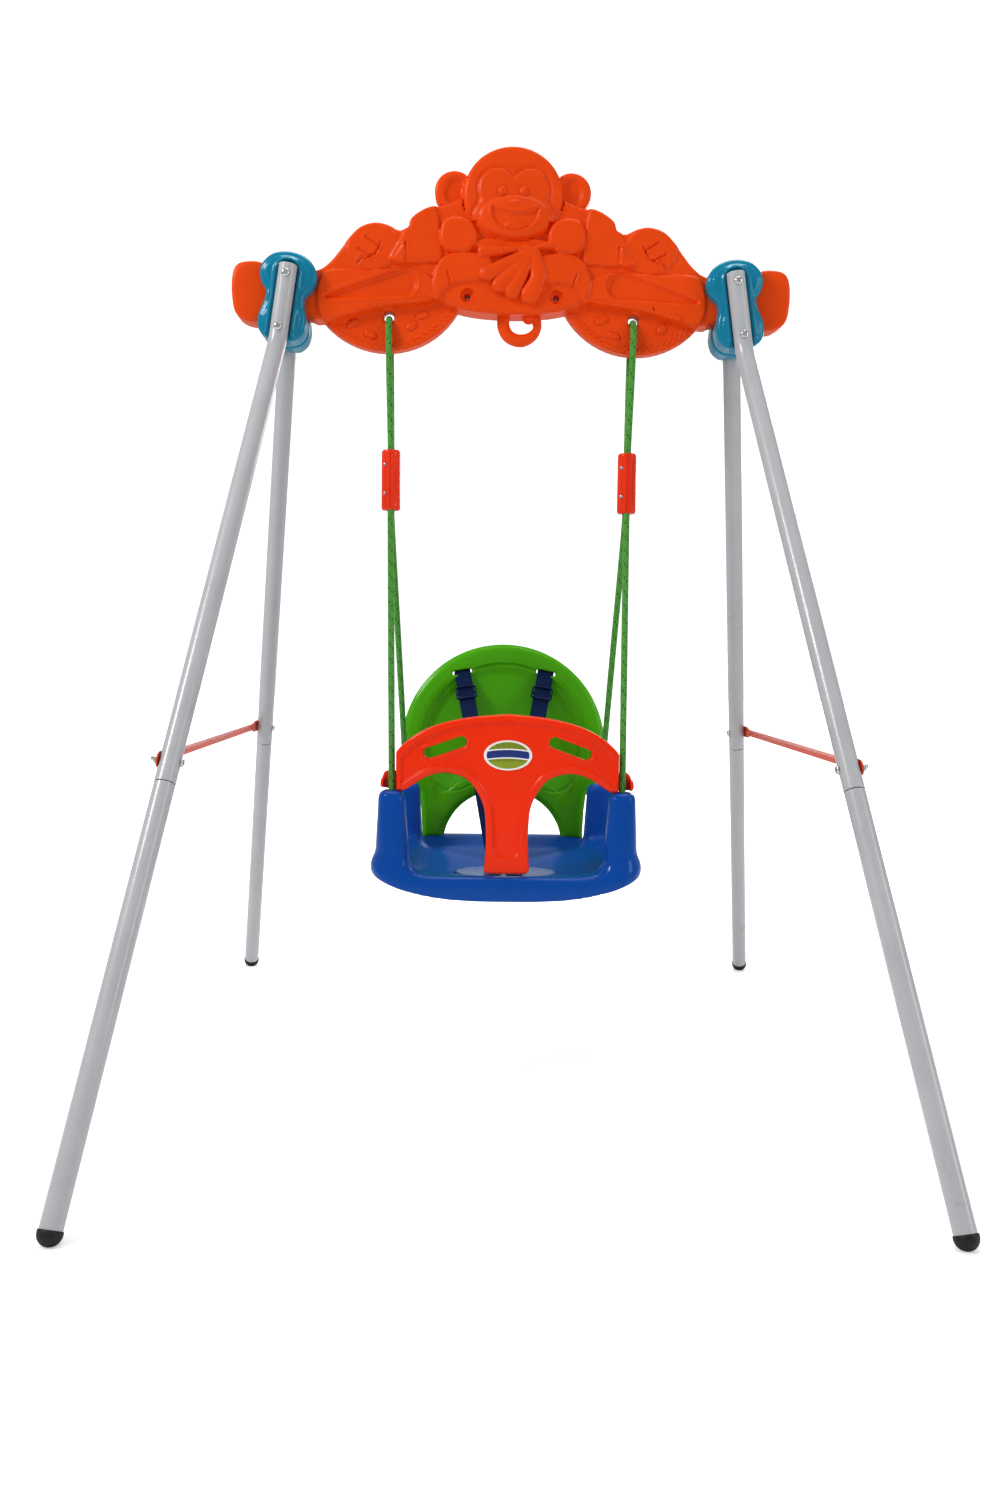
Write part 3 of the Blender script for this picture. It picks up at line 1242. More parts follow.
class SWING_OT_beam(bpy.types.Operator):
    """Make the moulded animal beam with its fruit slices, tail and eyelets"""

    bl_idname = "swing.beam"
    bl_label = "Beam"

    def execute(self, context):
        s = settings().beam
        relief = BeamRelief(s.body / MM, s.slice / MM, s.hole_radius / MM)
        made = plate(
            relief.outside, relief.front, relief.back, (-396, 1014), (396, 1308),
            step=s.grid / MM, edge=s.edge / MM, rings=4,
        )
        shell = Shell().add(made).add(curled_tail())
        for side in (-1, 1):
            shell.add(hair_curl(side))
        plastic = moulded_plastic("beam_plastic", tuple(s.colour), rough=0.36, grain=0.3, coat=0.12)
        make_piece("moulded_beam", shell, plastic, "frame", ["beam"], sharp=50)
        return {"FINISHED"}


# ------------------------------------------------------------ brackets and hardware
# The right half of a bracket's outline before it is grown, from the top down.
BRACKET_HALF = (
    (0, 1161), (22, 1156), (35, 1143), (38, 1130), (34, 1117), (26, 1106), (26, 1094),
    (30, 1080), (32, 1068), (29, 1054), (19, 1045), (0, 1041),
)


def bracket_half(front, radius):
    """One half of a bracket: flat where the halves meet, bedded for the leg, with a pressed border."""
    outline = smooth_loop(mirrored(BRACKET_HALF), 8)
    grow, bed_radius = 1.5, radius + 0.7

    def outside(x, z):
        return to_outline(x, z, outline) - grow

    def face(x, z):
        d = outside(x, z)
        h = 39.0 + 1.6 * ramp((-d - 3) / 9) - 1.4 * ridge(d + 6.5, 1.6)
        channel = to_capsule(x, z, (0, 1000), (0, 1133), bed_radius)
        open_end = np.maximum(np.abs(x) - bed_radius, z - LEG_TOP - 1.2)
        h = h + 3.0 * ridge(channel - 3.6, 2.4) * (d < -1)
        h = h + 3.4 * ridge(x, 9.0) * ridge(z - 1148.5, 3.4)
        bed = LEG_AXIS - np.sqrt(np.clip(bed_radius**2 - x**2, 0, None))
        return np.where(open_end < 0, np.minimum(h, bed), h)

    def outer(x, z):
        return front * face(x, z)

    def parting(x, z):
        return np.full(x.shape, front * 0.25)

    near, far = (outer, parting) if front < 0 else (parting, outer)
    return plate(outside, near, far, (-44, 1024), (44, 1166), step=1.5, edge=7.0, rings=6)


class SWING_OT_brackets(bpy.types.Operator):
    """Make the two halves of each clamshell bracket"""

    bl_idname = "swing.brackets"
    bl_label = "Brackets"

    def execute(self, context):
        s = settings().frame
        colour = tuple(s.bracket_colour)
        plastic = moulded_plastic("bracket_plastic", colour, rough=0.16, grain=0.08, coat=0.5)
        for side, hand in HANDS:
            for front, end in ENDS:
                shell = Shell().add(bracket_half(front, s.leg_radius / MM)).moved(leaned(side))
                name = f"bracket_{hand}_{end}"
                make_piece(f"clamshell_{name}", shell, plastic, "frame", [name], sharp=42)
        return {"FINISHED"}


def template(name, made):
    """A small mesh object that a node tree copies; it is removed afterwards."""
    return placed(name, smooth_mesh(name, *made, 32))


def copies_tree():
    """A node tree that sets a template on each point, turned by the point's own angles."""
    tree = bpy.data.node_groups.new("fasteners_on_points", "GeometryNodeTree")
    face = tree.interface
    face.new_socket("Points", in_out="INPUT", socket_type="NodeSocketGeometry")
    face.new_socket("Fastener", in_out="INPUT", socket_type="NodeSocketObject")
    face.new_socket("Scale", in_out="INPUT", socket_type="NodeSocketFloat").default_value = 1.0
    face.new_socket("Plating", in_out="INPUT", socket_type="NodeSocketMaterial")
    face.new_socket("Fasteners", in_out="OUTPUT", socket_type="NodeSocketGeometry")
    nodes, links = tree.nodes, tree.links
    given, made = nodes.new("NodeGroupInput"), nodes.new("NodeGroupOutput")
    points = nodes.new("GeometryNodeMeshToPoints")
    info = nodes.new("GeometryNodeObjectInfo")
    angles = nodes.new("GeometryNodeInputNamedAttribute")
    angles.data_type = "FLOAT_VECTOR"
    angles.inputs["Name"].default_value = "angles"
    copies = nodes.new("GeometryNodeInstanceOnPoints")
    real = nodes.new("GeometryNodeRealizeInstances")
    finish = nodes.new("GeometryNodeSetMaterial")
    links.new(given.outputs["Points"], points.inputs["Mesh"])
    links.new(given.outputs["Fastener"], info.inputs["Object"])
    links.new(points.outputs[0], copies.inputs["Points"])
    links.new(info.outputs["Geometry"], copies.inputs["Instance"])
    links.new(angles.outputs["Attribute"], copies.inputs["Rotation"])
    links.new(given.outputs["Scale"], copies.inputs["Scale"])
    links.new(copies.outputs[0], real.inputs[0])
    links.new(real.outputs[0], finish.inputs["Geometry"])
    links.new(given.outputs["Plating"], finish.inputs["Material"])
    links.new(finish.outputs[0], made.inputs[0])
    return tree


def fasten(name, tree, pattern, places, material, body, stands_for):
    """Copies of a fastener at (point, direction) places as one plain mesh."""
    mesh = bpy.data.meshes.new(name)
    mesh.from_pydata([tuple(Vector(at) * MM) for at, _ in places], [], [])
    layer = mesh.attributes.new("angles", "FLOAT_VECTOR", "POINT")
    for item, (_, axis) in zip(layer.data, places):
        item.vector = Vector(axis).to_track_quat("Z", "Y").to_euler()
    holder = placed(f"{name}_points", mesh)
    modifier = holder.modifiers.new("copies", "NODES")
    modifier.node_group = tree
    sockets = {item.name: item.identifier for item in tree.interface.items_tree if item.in_out == "INPUT"}
    modifier[sockets["Fastener"]] = pattern
    modifier[sockets["Scale"]] = 1.0
    modifier[sockets["Plating"]] = material
    graph = bpy.context.evaluated_depsgraph_get()
    made = bpy.data.meshes.new_from_object(
        holder.evaluated_get(graph), preserve_all_data_layers=True, depsgraph=graph
    )
    made.name = name
    bpy.data.objects.remove(holder)
    piece = placed(name, made)
    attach(piece, body)
    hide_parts(*stands_for)
    return piece


def bolt_shape(radius, shank):
    """A domed head with a hex socket and a short shank."""
    r = radius
    profile = [
        (0, -shank), (2.6, -shank), (3.0, -shank + 0.8), (3.0, 0), (r - 0.2, 0), (r, 0.35), (r, 1.2),
        (r * 0.92, 2.1), (r * 0.74, 2.9), (r * 0.56, 3.3), (2.6, 3.4), (2.45, 3.1), (2.4, 1.4), (0, 1.2),
    ]
    return turned(profile, 36, hexagon=(10, 11, 12))


def nut_shape():
    """A six-sided nut with a round collar, open along its bore."""
    profile = [
        (3.05, 0), (5.3, 0), (5.75, 0.5), (5.75, 3.6), (5.2, 4.2),
        (4.3, 4.3), (3.9, 5.0), (3.05, 5.0), (3.05, 0),
    ]
    return turned(profile, 36, hexagon=(1, 2, 3, 4), caps=False)


class SWING_OT_hardware(bpy.types.Operator):
    """Make the bolts and nuts of the brackets and braces"""

    bl_idname = "swing.hardware"
    bl_label = "Hardware"

    def execute(self, context):
        s = settings().frame
        plating = zinc_plate("zinc_plate", tuple(s.bolt_colour))
        radius = s.leg_radius / MM
        tree = copies_tree()
        groups = {"bracket_bolt": [], "bracket_nut": [], "brace_bolt": [], "brace_nut": []}
        names = {key: [] for key in groups}
        for side, hand in HANDS:
            place = leaned(side)
            for height, level in zip(BOLT_HEIGHTS, ("upper", "lower")):
                face = LEG_AXIS + radius + 0.1
                for key, y in (("bracket_bolt", -face), ("bracket_nut", face)):
                    at = place(np.array([(0.0, y, height)]))[0]
                    groups[key].append((at, (0, math.copysign(1, y), 0)))
                    names[key].append(f"{key}_{hand}_{level}")
            for front, end in ENDS:
                p = leg_point(front, BRACE_HEIGHT)
                for key, x in (("brace_bolt", -side * (radius + 0.1)), ("brace_nut", side * (radius + 2.4))):
                    at, out = place(np.array([(x, p[1], p[2]), (x + math.copysign(1, x), p[1], p[2])]))
                    groups[key].append((at, tuple(out - at)))
                    names[key].append(f"{key}_{hand}_{end}")
        bolt = template("bolt_pattern", bolt_shape(s.bolt_head / MM, 14))
        nut = template("nut_pattern", nut_shape())
        stub = template("stub_pattern", turned([(0, -1), (2.9, -1), (2.9, 7.0), (2.3, 7.8), (0, 7.8)], 24))
        for key, places in groups.items():
            pattern = bolt if "bolt" in key else nut
            fasten(f"{key}s", tree, pattern, places, plating, "frame", names[key])
        for key in ("bracket_nut", "brace_nut"):
            piece = fasten(f"{key[:-4]}_bolt_ends", tree, stub, groups[key], plating, "frame", [])
            piece.data.name = piece.name
        for pattern in (bolt, nut, stub):
            bpy.data.objects.remove(pattern)
        return {"FINISHED"}


# ------------------------------------------------------------ solid forms from distance fields
CUBE_EDGES = [(a, a | bit) for a in range(8) for bit in (1, 2, 4) if not a & bit]


def form(field, low, high, step):
    """The surface field = 0 of a smooth 3-D distance field, as quads drawn onto it."""
    axes = [np.arange(a, b + step, step) for a, b in zip(low, high)]
    f = field(*np.meshgrid(*axes, indexing="ij"))
    shape = [n - 1 for n in f.shape]
    total, hits = np.zeros((*shape, 3)), np.zeros(shape)

    def corner(c):
        return f[tuple(slice((c >> k) & 1, ((c >> k) & 1) + shape[k]) for k in range(3))]

    for a, b in CUBE_EDGES:
        fa, fb = corner(a), corner(b)
        cut = (fa < 0) != (fb < 0)
        with np.errstate(divide="ignore", invalid="ignore"):
            t = np.where(cut, fa / (fa - fb), 0)
        for k in range(3):
            start, end = (a >> k) & 1, (b >> k) & 1
            total[..., k] += np.where(cut, start + (end - start) * t, 0)
        hits += cut
    cells = np.argwhere(hits > 0)
    number = np.full(shape, -1)
    number[tuple(cells.T)] = np.arange(len(cells))
    local = total[tuple(cells.T)] / hits[tuple(cells.T)][:, None]
    points = np.array(low) + (cells + local) * step
    faces = []
    for k in range(3):
        u, v = [n for n in range(3) if n != k]
        one = [slice(1, n - 1) for n in f.shape]
        one[k] = slice(0, f.shape[k] - 1)
        two = list(one)
        two[k] = slice(1, f.shape[k])
        inside, outside = f[tuple(one)] < 0, f[tuple(two)] < 0
        at = np.argwhere(inside != outside)
        if not len(at):
            continue
        flip = (inside[tuple(at.T)]) != (k == 1)
        base = at + np.array([0 if n == k else 1 for n in range(3)])
        quad = []
        for du, dv in ((0, 0), (1, 0), (1, 1), (0, 1)):
            cell = base.copy()
            cell[:, u] -= du
            cell[:, v] -= dv
            quad.append(number[tuple(cell.T)])
        quad = np.column_stack(quad)
        quad[~flip] = quad[~flip][:, ::-1]
        faces.extend(quad.tolist())
    e = 0.15 * step
    for _ in range(3):
        value = field(*points.T)
        slope = np.column_stack([
            (field(*(points + d).T) - field(*(points - d).T)) / (2 * e) for d in np.eye(3) * e
        ])
        move = -value[:, None] * slope / (np.sum(slope**2, axis=1)[:, None] + 1e-6)
        points = points + np.clip(move, -0.6 * step, 0.6 * step)
    return points, faces


def to_route(x, y, z, route):
    """Distance from points in space to an open line."""
    best = np.full(np.shape(x), 1e9)
    for a, b in zip(route[:-1], route[1:]):
        d = np.subtract(b, a)
        px, py, pz = x - a[0], y - a[1], z - a[2]
        t = np.clip((px * d[0] + py * d[1] + pz * d[2]) / (d @ d + 1e-12), 0, 1)
        best = np.minimum(best, (px - t * d[0]) ** 2 + (py - t * d[1]) ** 2 + (pz - t * d[2]) ** 2)
    return np.sqrt(best)


def to_superellipse(u, v, a, b, power):
    """Close to the distance from a rounded rectangle's edge; a and b may be arrays."""
    pu, pv = (np.abs(u) / a) ** power, (np.abs(v) / b) ** power
    s = (pu + pv + 1e-12) ** (1 / power)
    gu = pu / (np.abs(u) + 1e-3)
    gv = pv / (np.abs(v) + 1e-3)
    slope = np.hypot(gu, gv) * s ** (1 - power)
    return (s - 1) / np.maximum(slope, 0.6 / np.maximum(a, b))


# ------------------------------------------------------------ seat pan
PAN_HALF = (185.5, 176.0)
PAN_CENTRE_Y = 2.0
PAN_POWER = 2 / 0.28
PAN_WALL = 5.0
PAN_DISH = 13.0
POCKET_RADIUS = 12.0


def pan_edge(x, y):
    """Distance to the pan's outline, a rounded rectangle that narrows a little to the rear."""
    taper = 1 - 0.07 * (y + PAN_HALF[1]) / (2 * PAN_HALF[1])
    return to_superellipse(x, y - PAN_CENTRE_Y, PAN_HALF[0] * taper, PAN_HALF[1], PAN_POWER)


def foot_flat(x, y):
    """Distance to the edge of the round flat that the guard bar's foot stands on."""
    return to_ellipse(x, y, 0, -94, 68, 72)


def pan_top(x, y, edge):
    """Height of the pan's upper face: a dished floor inside a rim that rises at the sides."""
    side = ramp((np.abs(x) - 92) / 74)
    rear = ramp((y + 60) / 170)
    rim = 310 + 17 * side * (1 - ramp((np.abs(y + 20) - 118) / 60)) + 9 * rear * (1 - side)
    floor = PAN_DISH * ramp((-edge - 24) / 52) + 3 * ramp((-edge - 70) / 70)
    flat = 310.6 - 0.075 * (y + 165)
    on_flat = 1 - ramp(foot_flat(x, y) / 6)
    return rim - floor + (flat - rim + floor) * on_flat


def post(x, y, z, route, half, spread, top):
    """An armrest post that follows its rope up and ends in a dome."""
    heights = [p[2] for p in route]
    cx = np.interp(z, heights, [p[0] for p in route])
    cy = np.interp(z, heights, [p[1] for p in route])
    widen = spread * ramp((top - z) / 95)
    d = to_superellipse(np.abs(x) - cx, y - cy, half[0] + widen, half[1] + widen, 3.2)
    return soft_max(d, z - top, 13)


def post_axis(route, high):
    """A post's middle line: its rope's line, but upright near the top."""
    heights, ys = [p[2] for p in route], [p[1] for p in route]
    return [(x, np.interp(min(z, high - 14), heights, ys), z) for x, _, z in route]


class SWING_OT_seat_pan(bpy.types.Operator):
    """Make the seat pan with its four armrest posts and rope holes"""

    bl_idname = "swing.seat_pan"
    bl_label = "Seat pan"

    def execute(self, context):
        s = settings().seat
        bore = s.rope_radius / MM + 0.9
        strands = []
        for strand, (low, _, top) in ((FRONT_STRAND, FRONT_POST), (REAR_STRAND, REAR_POST)):
            near = [(y, z) for y, z in strand[::-1] if z < 530]
            strands.append([(strand_x(z, low, top), y, z) for y, z in near])
        posts = (
            (post_axis(strands[0], FRONT_POST[2]), (17.5, 18.5), 5.0, FRONT_POST[2]),
            (post_axis(strands[1], REAR_POST[2]), (20, 17.5), 4.0, REAR_POST[2]),
        )

        def field(x, y, z):
            edge = pan_edge(x, y)
            top = z - pan_top(x, y, edge)
            skirt = 274.0 + 33.5 * (np.abs(x) / 184) ** 3
            outer = soft_max(edge, top, 15)
            inner = soft_max(edge + PAN_WALL, top + PAN_WALL, 12)
            front, rear = [soft_max(post(x, y, z, *each), edge + 1.0, 8) for each in posts]
            armrests = np.minimum(front, rear)
            outer = soft_min(outer, armrests, 20)
            outer = soft_max(outer, skirt - 2 - z, 14)
            solid = soft_max(outer, -inner, 2.0)
            solid = soft_min(solid, np.maximum(armrests, 300 - z), 3.0)
            solid = soft_max(solid, skirt + 3.2 - z, 1.6)
            for route in strands:
                hole = to_route(np.abs(x), y, z, route) - bore
                around = np.hypot(np.abs(x) - route[0][0], y - route[0][1]) - POCKET_RADIUS
                pocket = np.maximum(around, z - KNOT_SEAT)
                solid = soft_max(solid, -np.minimum(hole, pocket), 3.5)
            return solid

        made = form(field, (-194, -178, 270), (194, 182, 426), s.pan_step / MM)
        plastic = seat_plastic("seat_plastic", tuple(s.pan_colour))
        shell = Shell().add(made)
        pan = make_piece("moulded_seat_pan", shell, plastic, "swing", ["seat_pan"], sharp=60)
        flat = np.empty(3 * len(pan.data.vertices))
        pan.data.vertices.foreach_get("co", flat)
        x, y, z = flat.reshape(-1, 3).T / MM
        level = z - pan_top(x, y, pan_edge(x, y)) > -3
        floor = ramp((-pan_edge(x, y) - 22) / 6) * level
        spot = (1 - ramp((foot_flat(x, y) + 1) / 1.5)) * level * (y > -166)
        layer = pan.data.attributes.new("zones", "FLOAT_VECTOR", "POINT")
        layer.data.foreach_set("vector", np.column_stack((floor, spot, 0 * spot)).ravel())
        return {"FINISHED"}


# ------------------------------------------------------------ backrest
def to_slots(x, z, centre, lean, half_x, half_z, radius):
    """Distance to two leaning slots with round corners that mirror each other."""
    c, s = math.cos(lean), math.sin(lean)
    px, pz = np.abs(x) - centre[0], z - centre[1]
    du, dw = np.abs(px * c - pz * s) - half_x, np.abs(px * s + pz * c) - half_z
    return np.hypot(np.maximum(du, 0), np.maximum(dw, 0)) + np.minimum(np.maximum(du, dw), 0) - radius


# The foot that the backrest leans about: y and z. Its strap slots: x and z of their middles.
BACK_FOOT = (142.0, 314.0)
BACK_LEAN = math.radians(5)
BACK_SLOT = (66.0, 577.0)
SLOT_LEAN = math.radians(10)


def laid_back(p):
    """Leans points of the upright backrest about its foot."""
    c, s = math.cos(BACK_LEAN), math.sin(BACK_LEAN)
    y, z = p[:, 1], p[:, 2] - BACK_FOOT[1]
    return np.column_stack((p[:, 0], BACK_FOOT[0] + y * c + z * s, BACK_FOOT[1] - y * s + z * c))


def back_outline():
    arc = [(160 * math.cos(t), 460 + 160 * math.sin(t)) for t in np.radians(np.linspace(-20, 200, 90))]
    left = [(-131, 384), (-128, 360), (-126, 326), (-126, 314)]
    return arc + left + [(-x, z) for x, z in left[::-1]]


def back_arch():
    half = smooth_path([(95, 300), (93, 314), (86, 338), (70, 362), (44, 381), (0, 396)], 4)
    return mirrored(half)


class SWING_OT_backrest(bpy.types.Operator):
    """Make the backrest: a dished plate in a rolled rim, with two strap slots"""

    bl_idname = "swing.backrest"
    bl_label = "Backrest"

    def execute(self, context):
        s = settings().seat
        outline, arch = back_outline(), back_arch()

        def region(x, z):
            return np.maximum(to_outline(x, z, outline), -to_outline(x, z, arch))

        def panel(x, z):
            return 29.0 - soft_min(-to_outline(x, z, outline), to_outline(x, z, arch), 22)

        def line(x, z):
            dish = np.maximum(np.hypot(x, z - 469) - 119.5, 430 - z)
            lobes = to_capsule(x, z, (-78, 426), (78, 426), 38, 38)
            return soft_max(np.minimum(dish, lobes), 18 - to_outline(x, z, arch), 10)

        def slots(x, z):
            return to_slots(x, z, (BACK_SLOT[0], BACK_SLOT[1] - 1), SLOT_LEAN, 13, 0.6, 2.6)

        def field(x, z):
            return np.maximum(region(x, z), -slots(x, z))

        def front(x, z):
            inside, outside_panel = -region(x, z), panel(x, z)
            from_edge = dome(1 - np.clip(inside / 15, 0, 1))
            band = soft_min(11.8 * from_edge, 8.8 + 1.6 * ramp(outside_panel / 9), 3.0)
            dish = 6.6 * fade(-outside_panel, 20) + 1.4 * fade(-outside_panel, 1.8)
            y = 12.6 - np.where(outside_panel > 0, band, np.minimum(dish, band + 3))
            lip, crease = slots(x, z), line(x, z)
            y = y + 1.3 * ridge(crease, 1.3) - 0.5 * ridge(crease - 3.2, 1.6)
            return y - 1.2 * ridge(lip - 3.0, 2.2) * (outside_panel < -1)

        def back(x, z):
            return 20 - 2.2 * ramp((-region(x, z) - 22) / 10)

        made = plate(field, front, back, (-166, 296), (166, 626), step=1.5, edge=2.6, rings=4)
        plastic = moulded_plastic("backrest_plastic", tuple(s.back_colour), rough=0.22, grain=0.12, coat=0.3)
        shell = Shell().add(made).moved(laid_back)
        make_piece("moulded_backrest", shell, plastic, "swing", ["backrest"], sharp=46)
        return {"FINISHED"}


# ------------------------------------------------------------ guard bar
BAR_HALF = (
    (0, 525), (51, 520), (90, 511), (114, 501), (135, 487), (150, 471), (162, 452), (169, 433), (168, 424),
    (148, 421.5), (138, 422), (125, 430), (111, 439), (91, 446), (75, 446), (54, 438.5), (39, 420), (31, 401),
    (28.5, 378), (28, 352), (30.5, 313),
)
BAR_CURVE = 1770.0
BAR_FRONT = -162.0
BAR_DEPTH = 30.0

# The handle slots: centre, lean, half lengths and corner radius.
# The rope grooves: x, half width, y of the floor and z where they start.
HANDLE = ((83.0, 480.0), math.radians(20), 22.5, 0.0, 7.5)
GROOVE = (156.6, 8.2, -123.5, 446.0)
BADGE_CENTRE = (0.0, 471.0)
BADGE_HALF = (32.0, 20.0)


def bar_face(x):
    return BAR_FRONT + x**2 / BAR_CURVE


class SWING_OT_guard_bar(bpy.types.Operator):
    """Make the T-shaped guard bar with its handle slots, rope grooves and oval badge"""

    bl_idname = "swing.guard_bar"
    bl_label = "Guard bar"

    def execute(self, context):
        s = settings().seat
        right = smooth_path(BAR_HALF, 3.0)
        outline = mirrored(right)
        groove_x, groove_half, groove_floor, groove_low = GROOVE

        def handles(x, z):
            return to_slots(x, z, *HANDLE)

        def groove(x):
            return np.abs(np.abs(x) - groove_x) - groove_half

        def field(x, z):
            notch = np.maximum(groove(x), groove_low - z)
            return np.maximum(np.maximum(to_outline(x, z, outline), -handles(x, z)), -notch)

        def relief(x, z):
            inside = -to_outline(x, z, outline)
            rounded_foot = np.where(z < 352, np.hypot(x, z - 352) - 18.5, -99)
            inner = np.maximum(rounded_foot, 9.5 - inside)
            inner = np.maximum(inner, np.abs(x) - 141)
            h = -2.6 * fade(inner + 1.2, 2.4) + 0.9 * ridge(inner - 2.0, 1.3)
            return h + 2.6 * fade(handles(x, z) - 2.2, 2.2) * (inner < 0)

        def front(x, z):
            y = bar_face(x) + 0.6 - relief(x, z)
            wall = groove(x)
            return np.where(wall < 0, np.maximum(y, groove_floor), y + 1.4 * fade(wall, 2.4))

        def back(x, z):
            return bar_face(x) + BAR_DEPTH - 0.4

        made = plate(field, front, back, (-174, 308), (174, 528), step=1.4, edge=3.4, rings=5)
        plastic = moulded_plastic("guard_bar_plastic", tuple(s.bar_colour), rough=0.2, grain=0.1, coat=0.4)
        shell = Shell().add(made)
        make_piece("moulded_guard_bar", shell, plastic, "guard_bar", ["guard_bar"], sharp=50)

        oval = plate(
            lambda x, z: to_ellipse(x, z, *BADGE_CENTRE, *BADGE_HALF),
            lambda x, z: bar_face(x) + 1.9, lambda x, z: bar_face(x) + 4.6,
            (-34, 449), (34, 493), step=1.2, edge=0.6, rings=3,
        )
        inked = printed_badge(
            "oval_badge", (0, 0, BADGE_CENTRE[1] * MM), (BADGE_HALF[0] * MM, BADGE_HALF[1] * MM),
            tuple(s.badge_ground), (0.9, 0.9, 0.88, 1), tuple(s.badge_band),
        )
        make_piece("oval_badge", Shell().add(oval), inked, "guard_bar", ["bar_badge"], sharp=40)
        return {"FINISHED"}


# ------------------------------------------------------------ adjusters
STRAND_Y = 5.2
SCREW_HEIGHTS = (828.0, 868.0)


def adjuster_half(side, half, bore):
    """Half of an adjuster: a ribbed round block, grooved for the two strands of its rope."""
    low, high, centre = ADJUSTER
    turn = np.linspace(-math.pi / 2, math.pi / 2, 57)
    dip = np.linspace(math.pi / 2, -math.pi / 2, 13)
    parting, half_x, half_y, rounding = 0.2, 13.1, 12.5, 5
    quarter = np.linspace(0, math.pi / 2, 7)
    heights = np.concatenate((
        low + rounding * (1 - np.cos(quarter)), np.linspace(low + 7, high - 7, 40),
        high - rounding * (1 - np.cos(quarter[::-1])),
    ))
    rings = []
    for z in heights:
        end = min(z - low, high - z)
        k = 1 - 0.15 * (1 - math.sqrt(1 - max(0, 1 - end / rounding) ** 2))
        lobes = 1 - 0.07 * ridge(np.degrees(turn) + 57, 5) * ramp((end - 7) / 5)
        lobes = lobes * (1 - 0.05 * ridge(np.degrees(turn) + 88, 4))
        ring = list(zip(parting + half_x * k * np.cos(turn) * lobes, half_y * k * np.sin(turn) * lobes))
        for c in (STRAND_Y, -STRAND_Y):
            ring += [(parting + bore * math.cos(t), c + bore * math.sin(t)) for t in dip]
        rings.append([(side * centre + half * px, py, z) for px, py in ring])
    return skin(rings)


class SWING_OT_adjusters(bpy.types.Operator):
    """Make the two-part clamp on each rope, with its screws"""

    bl_idname = "swing.adjusters"
    bl_label = "Adjusters"

    def execute(self, context):
        s = settings().seat
        colour = tuple(s.adjuster_colour)
        plastic = moulded_plastic("adjuster_plastic", colour, rough=0.24, grain=0.15, coat=0.25)
        for side, hand in HANDS:
            for half in (-1, 1):
                name = f"adjuster_{hand}_{'inner' if half * side < 0 else 'outer'}"
                shell = Shell().add(adjuster_half(side, half, s.rope_radius / MM + 0.3))
                make_piece(f"{name}_shell", shell, plastic, "swing", [name], sharp=36)
        profile = [
            (0, -3), (1.4, -3), (1.4, 0), (2.3, 0), (2.4, 0.4), (2.0, 0.9), (0.8, 1.1), (0.7, 0.5), (0, 0.4),
        ]
        screw = template("screw_pattern", turned(profile, 24))
        places = []
        for side, _ in HANDS:
            for z in SCREW_HEIGHTS:
                places.append(((side * ADJUSTER[2] - 8.6, -9.6, z), (-0.45, -1.0, 0)))
        plating = zinc_plate("screw_plate", (0.55, 0.55, 0.56, 1))
        fasten("adjuster_screws", copies_tree(), screw, places, plating, "swing", [])
        bpy.data.objects.remove(screw)
        return {"FINISHED"}


# ------------------------------------------------------------ harness
SLOT_FACE = BACK_FOOT[0] + (BACK_SLOT[1] - BACK_FOOT[1]) * math.tan(BACK_LEAN) + 13
STRAP_TOP = (BACK_SLOT[0], SLOT_FACE - 5, BACK_SLOT[1])
STRAP_FOOT = (14.0, 34.0, 305.6)
SLIDER_DOWN = 40.0
PAD_Y = 34.0
PAD_UNDERSIDE = 300.6


def strap_frame(side):
    """The strap's own axes: x across it, y behind it and z up along it, from its top."""
    top = Vector((side * STRAP_TOP[0], STRAP_TOP[1], STRAP_TOP[2]))
    foot = Vector((side * STRAP_FOOT[0], STRAP_FOOT[1], STRAP_FOOT[2]))
    z = (top - foot).normalized()
    x = (Vector((1, 0, 0)) - z * z.x).normalized()
    y = z.cross(x)
    turn = Matrix((x, y, z)).transposed().to_4x4()
    return Matrix.Translation(top) @ turn, (top - foot).length


def strap_path(side, place, length):
    """A strap's line from the pad up to its slot, in through it and down behind the plate."""
    top, foot = np.array(place.translation), np.array((side * STRAP_FOOT[0], *STRAP_FOOT[1:]))
    into = np.array((0, math.cos(BACK_LEAN), -math.sin(BACK_LEAN)))
    down = np.array((0, -math.sin(BACK_LEAN), -math.cos(BACK_LEAN)))
    along = (top - foot) / length
    run = [foot + along * t for t in np.linspace(0, length - 6, 40)]
    turn_in = [top - along * 1.2 + into * 1.5, top + into * 5, top + into * 12]
    tail = [top + into * 15.4 + down * t for t in (3.4, 8, 14)]
    path = smooth_path(np.vstack((run, turn_in, tail)), 2.2)
    share = ramp((path[:, 2] - (top[2] - 60)) / 50)
    across = np.column_stack((np.cos(SLOT_LEAN * share), 0 * share, -side * np.sin(SLOT_LEAN * share)))
    return path, across


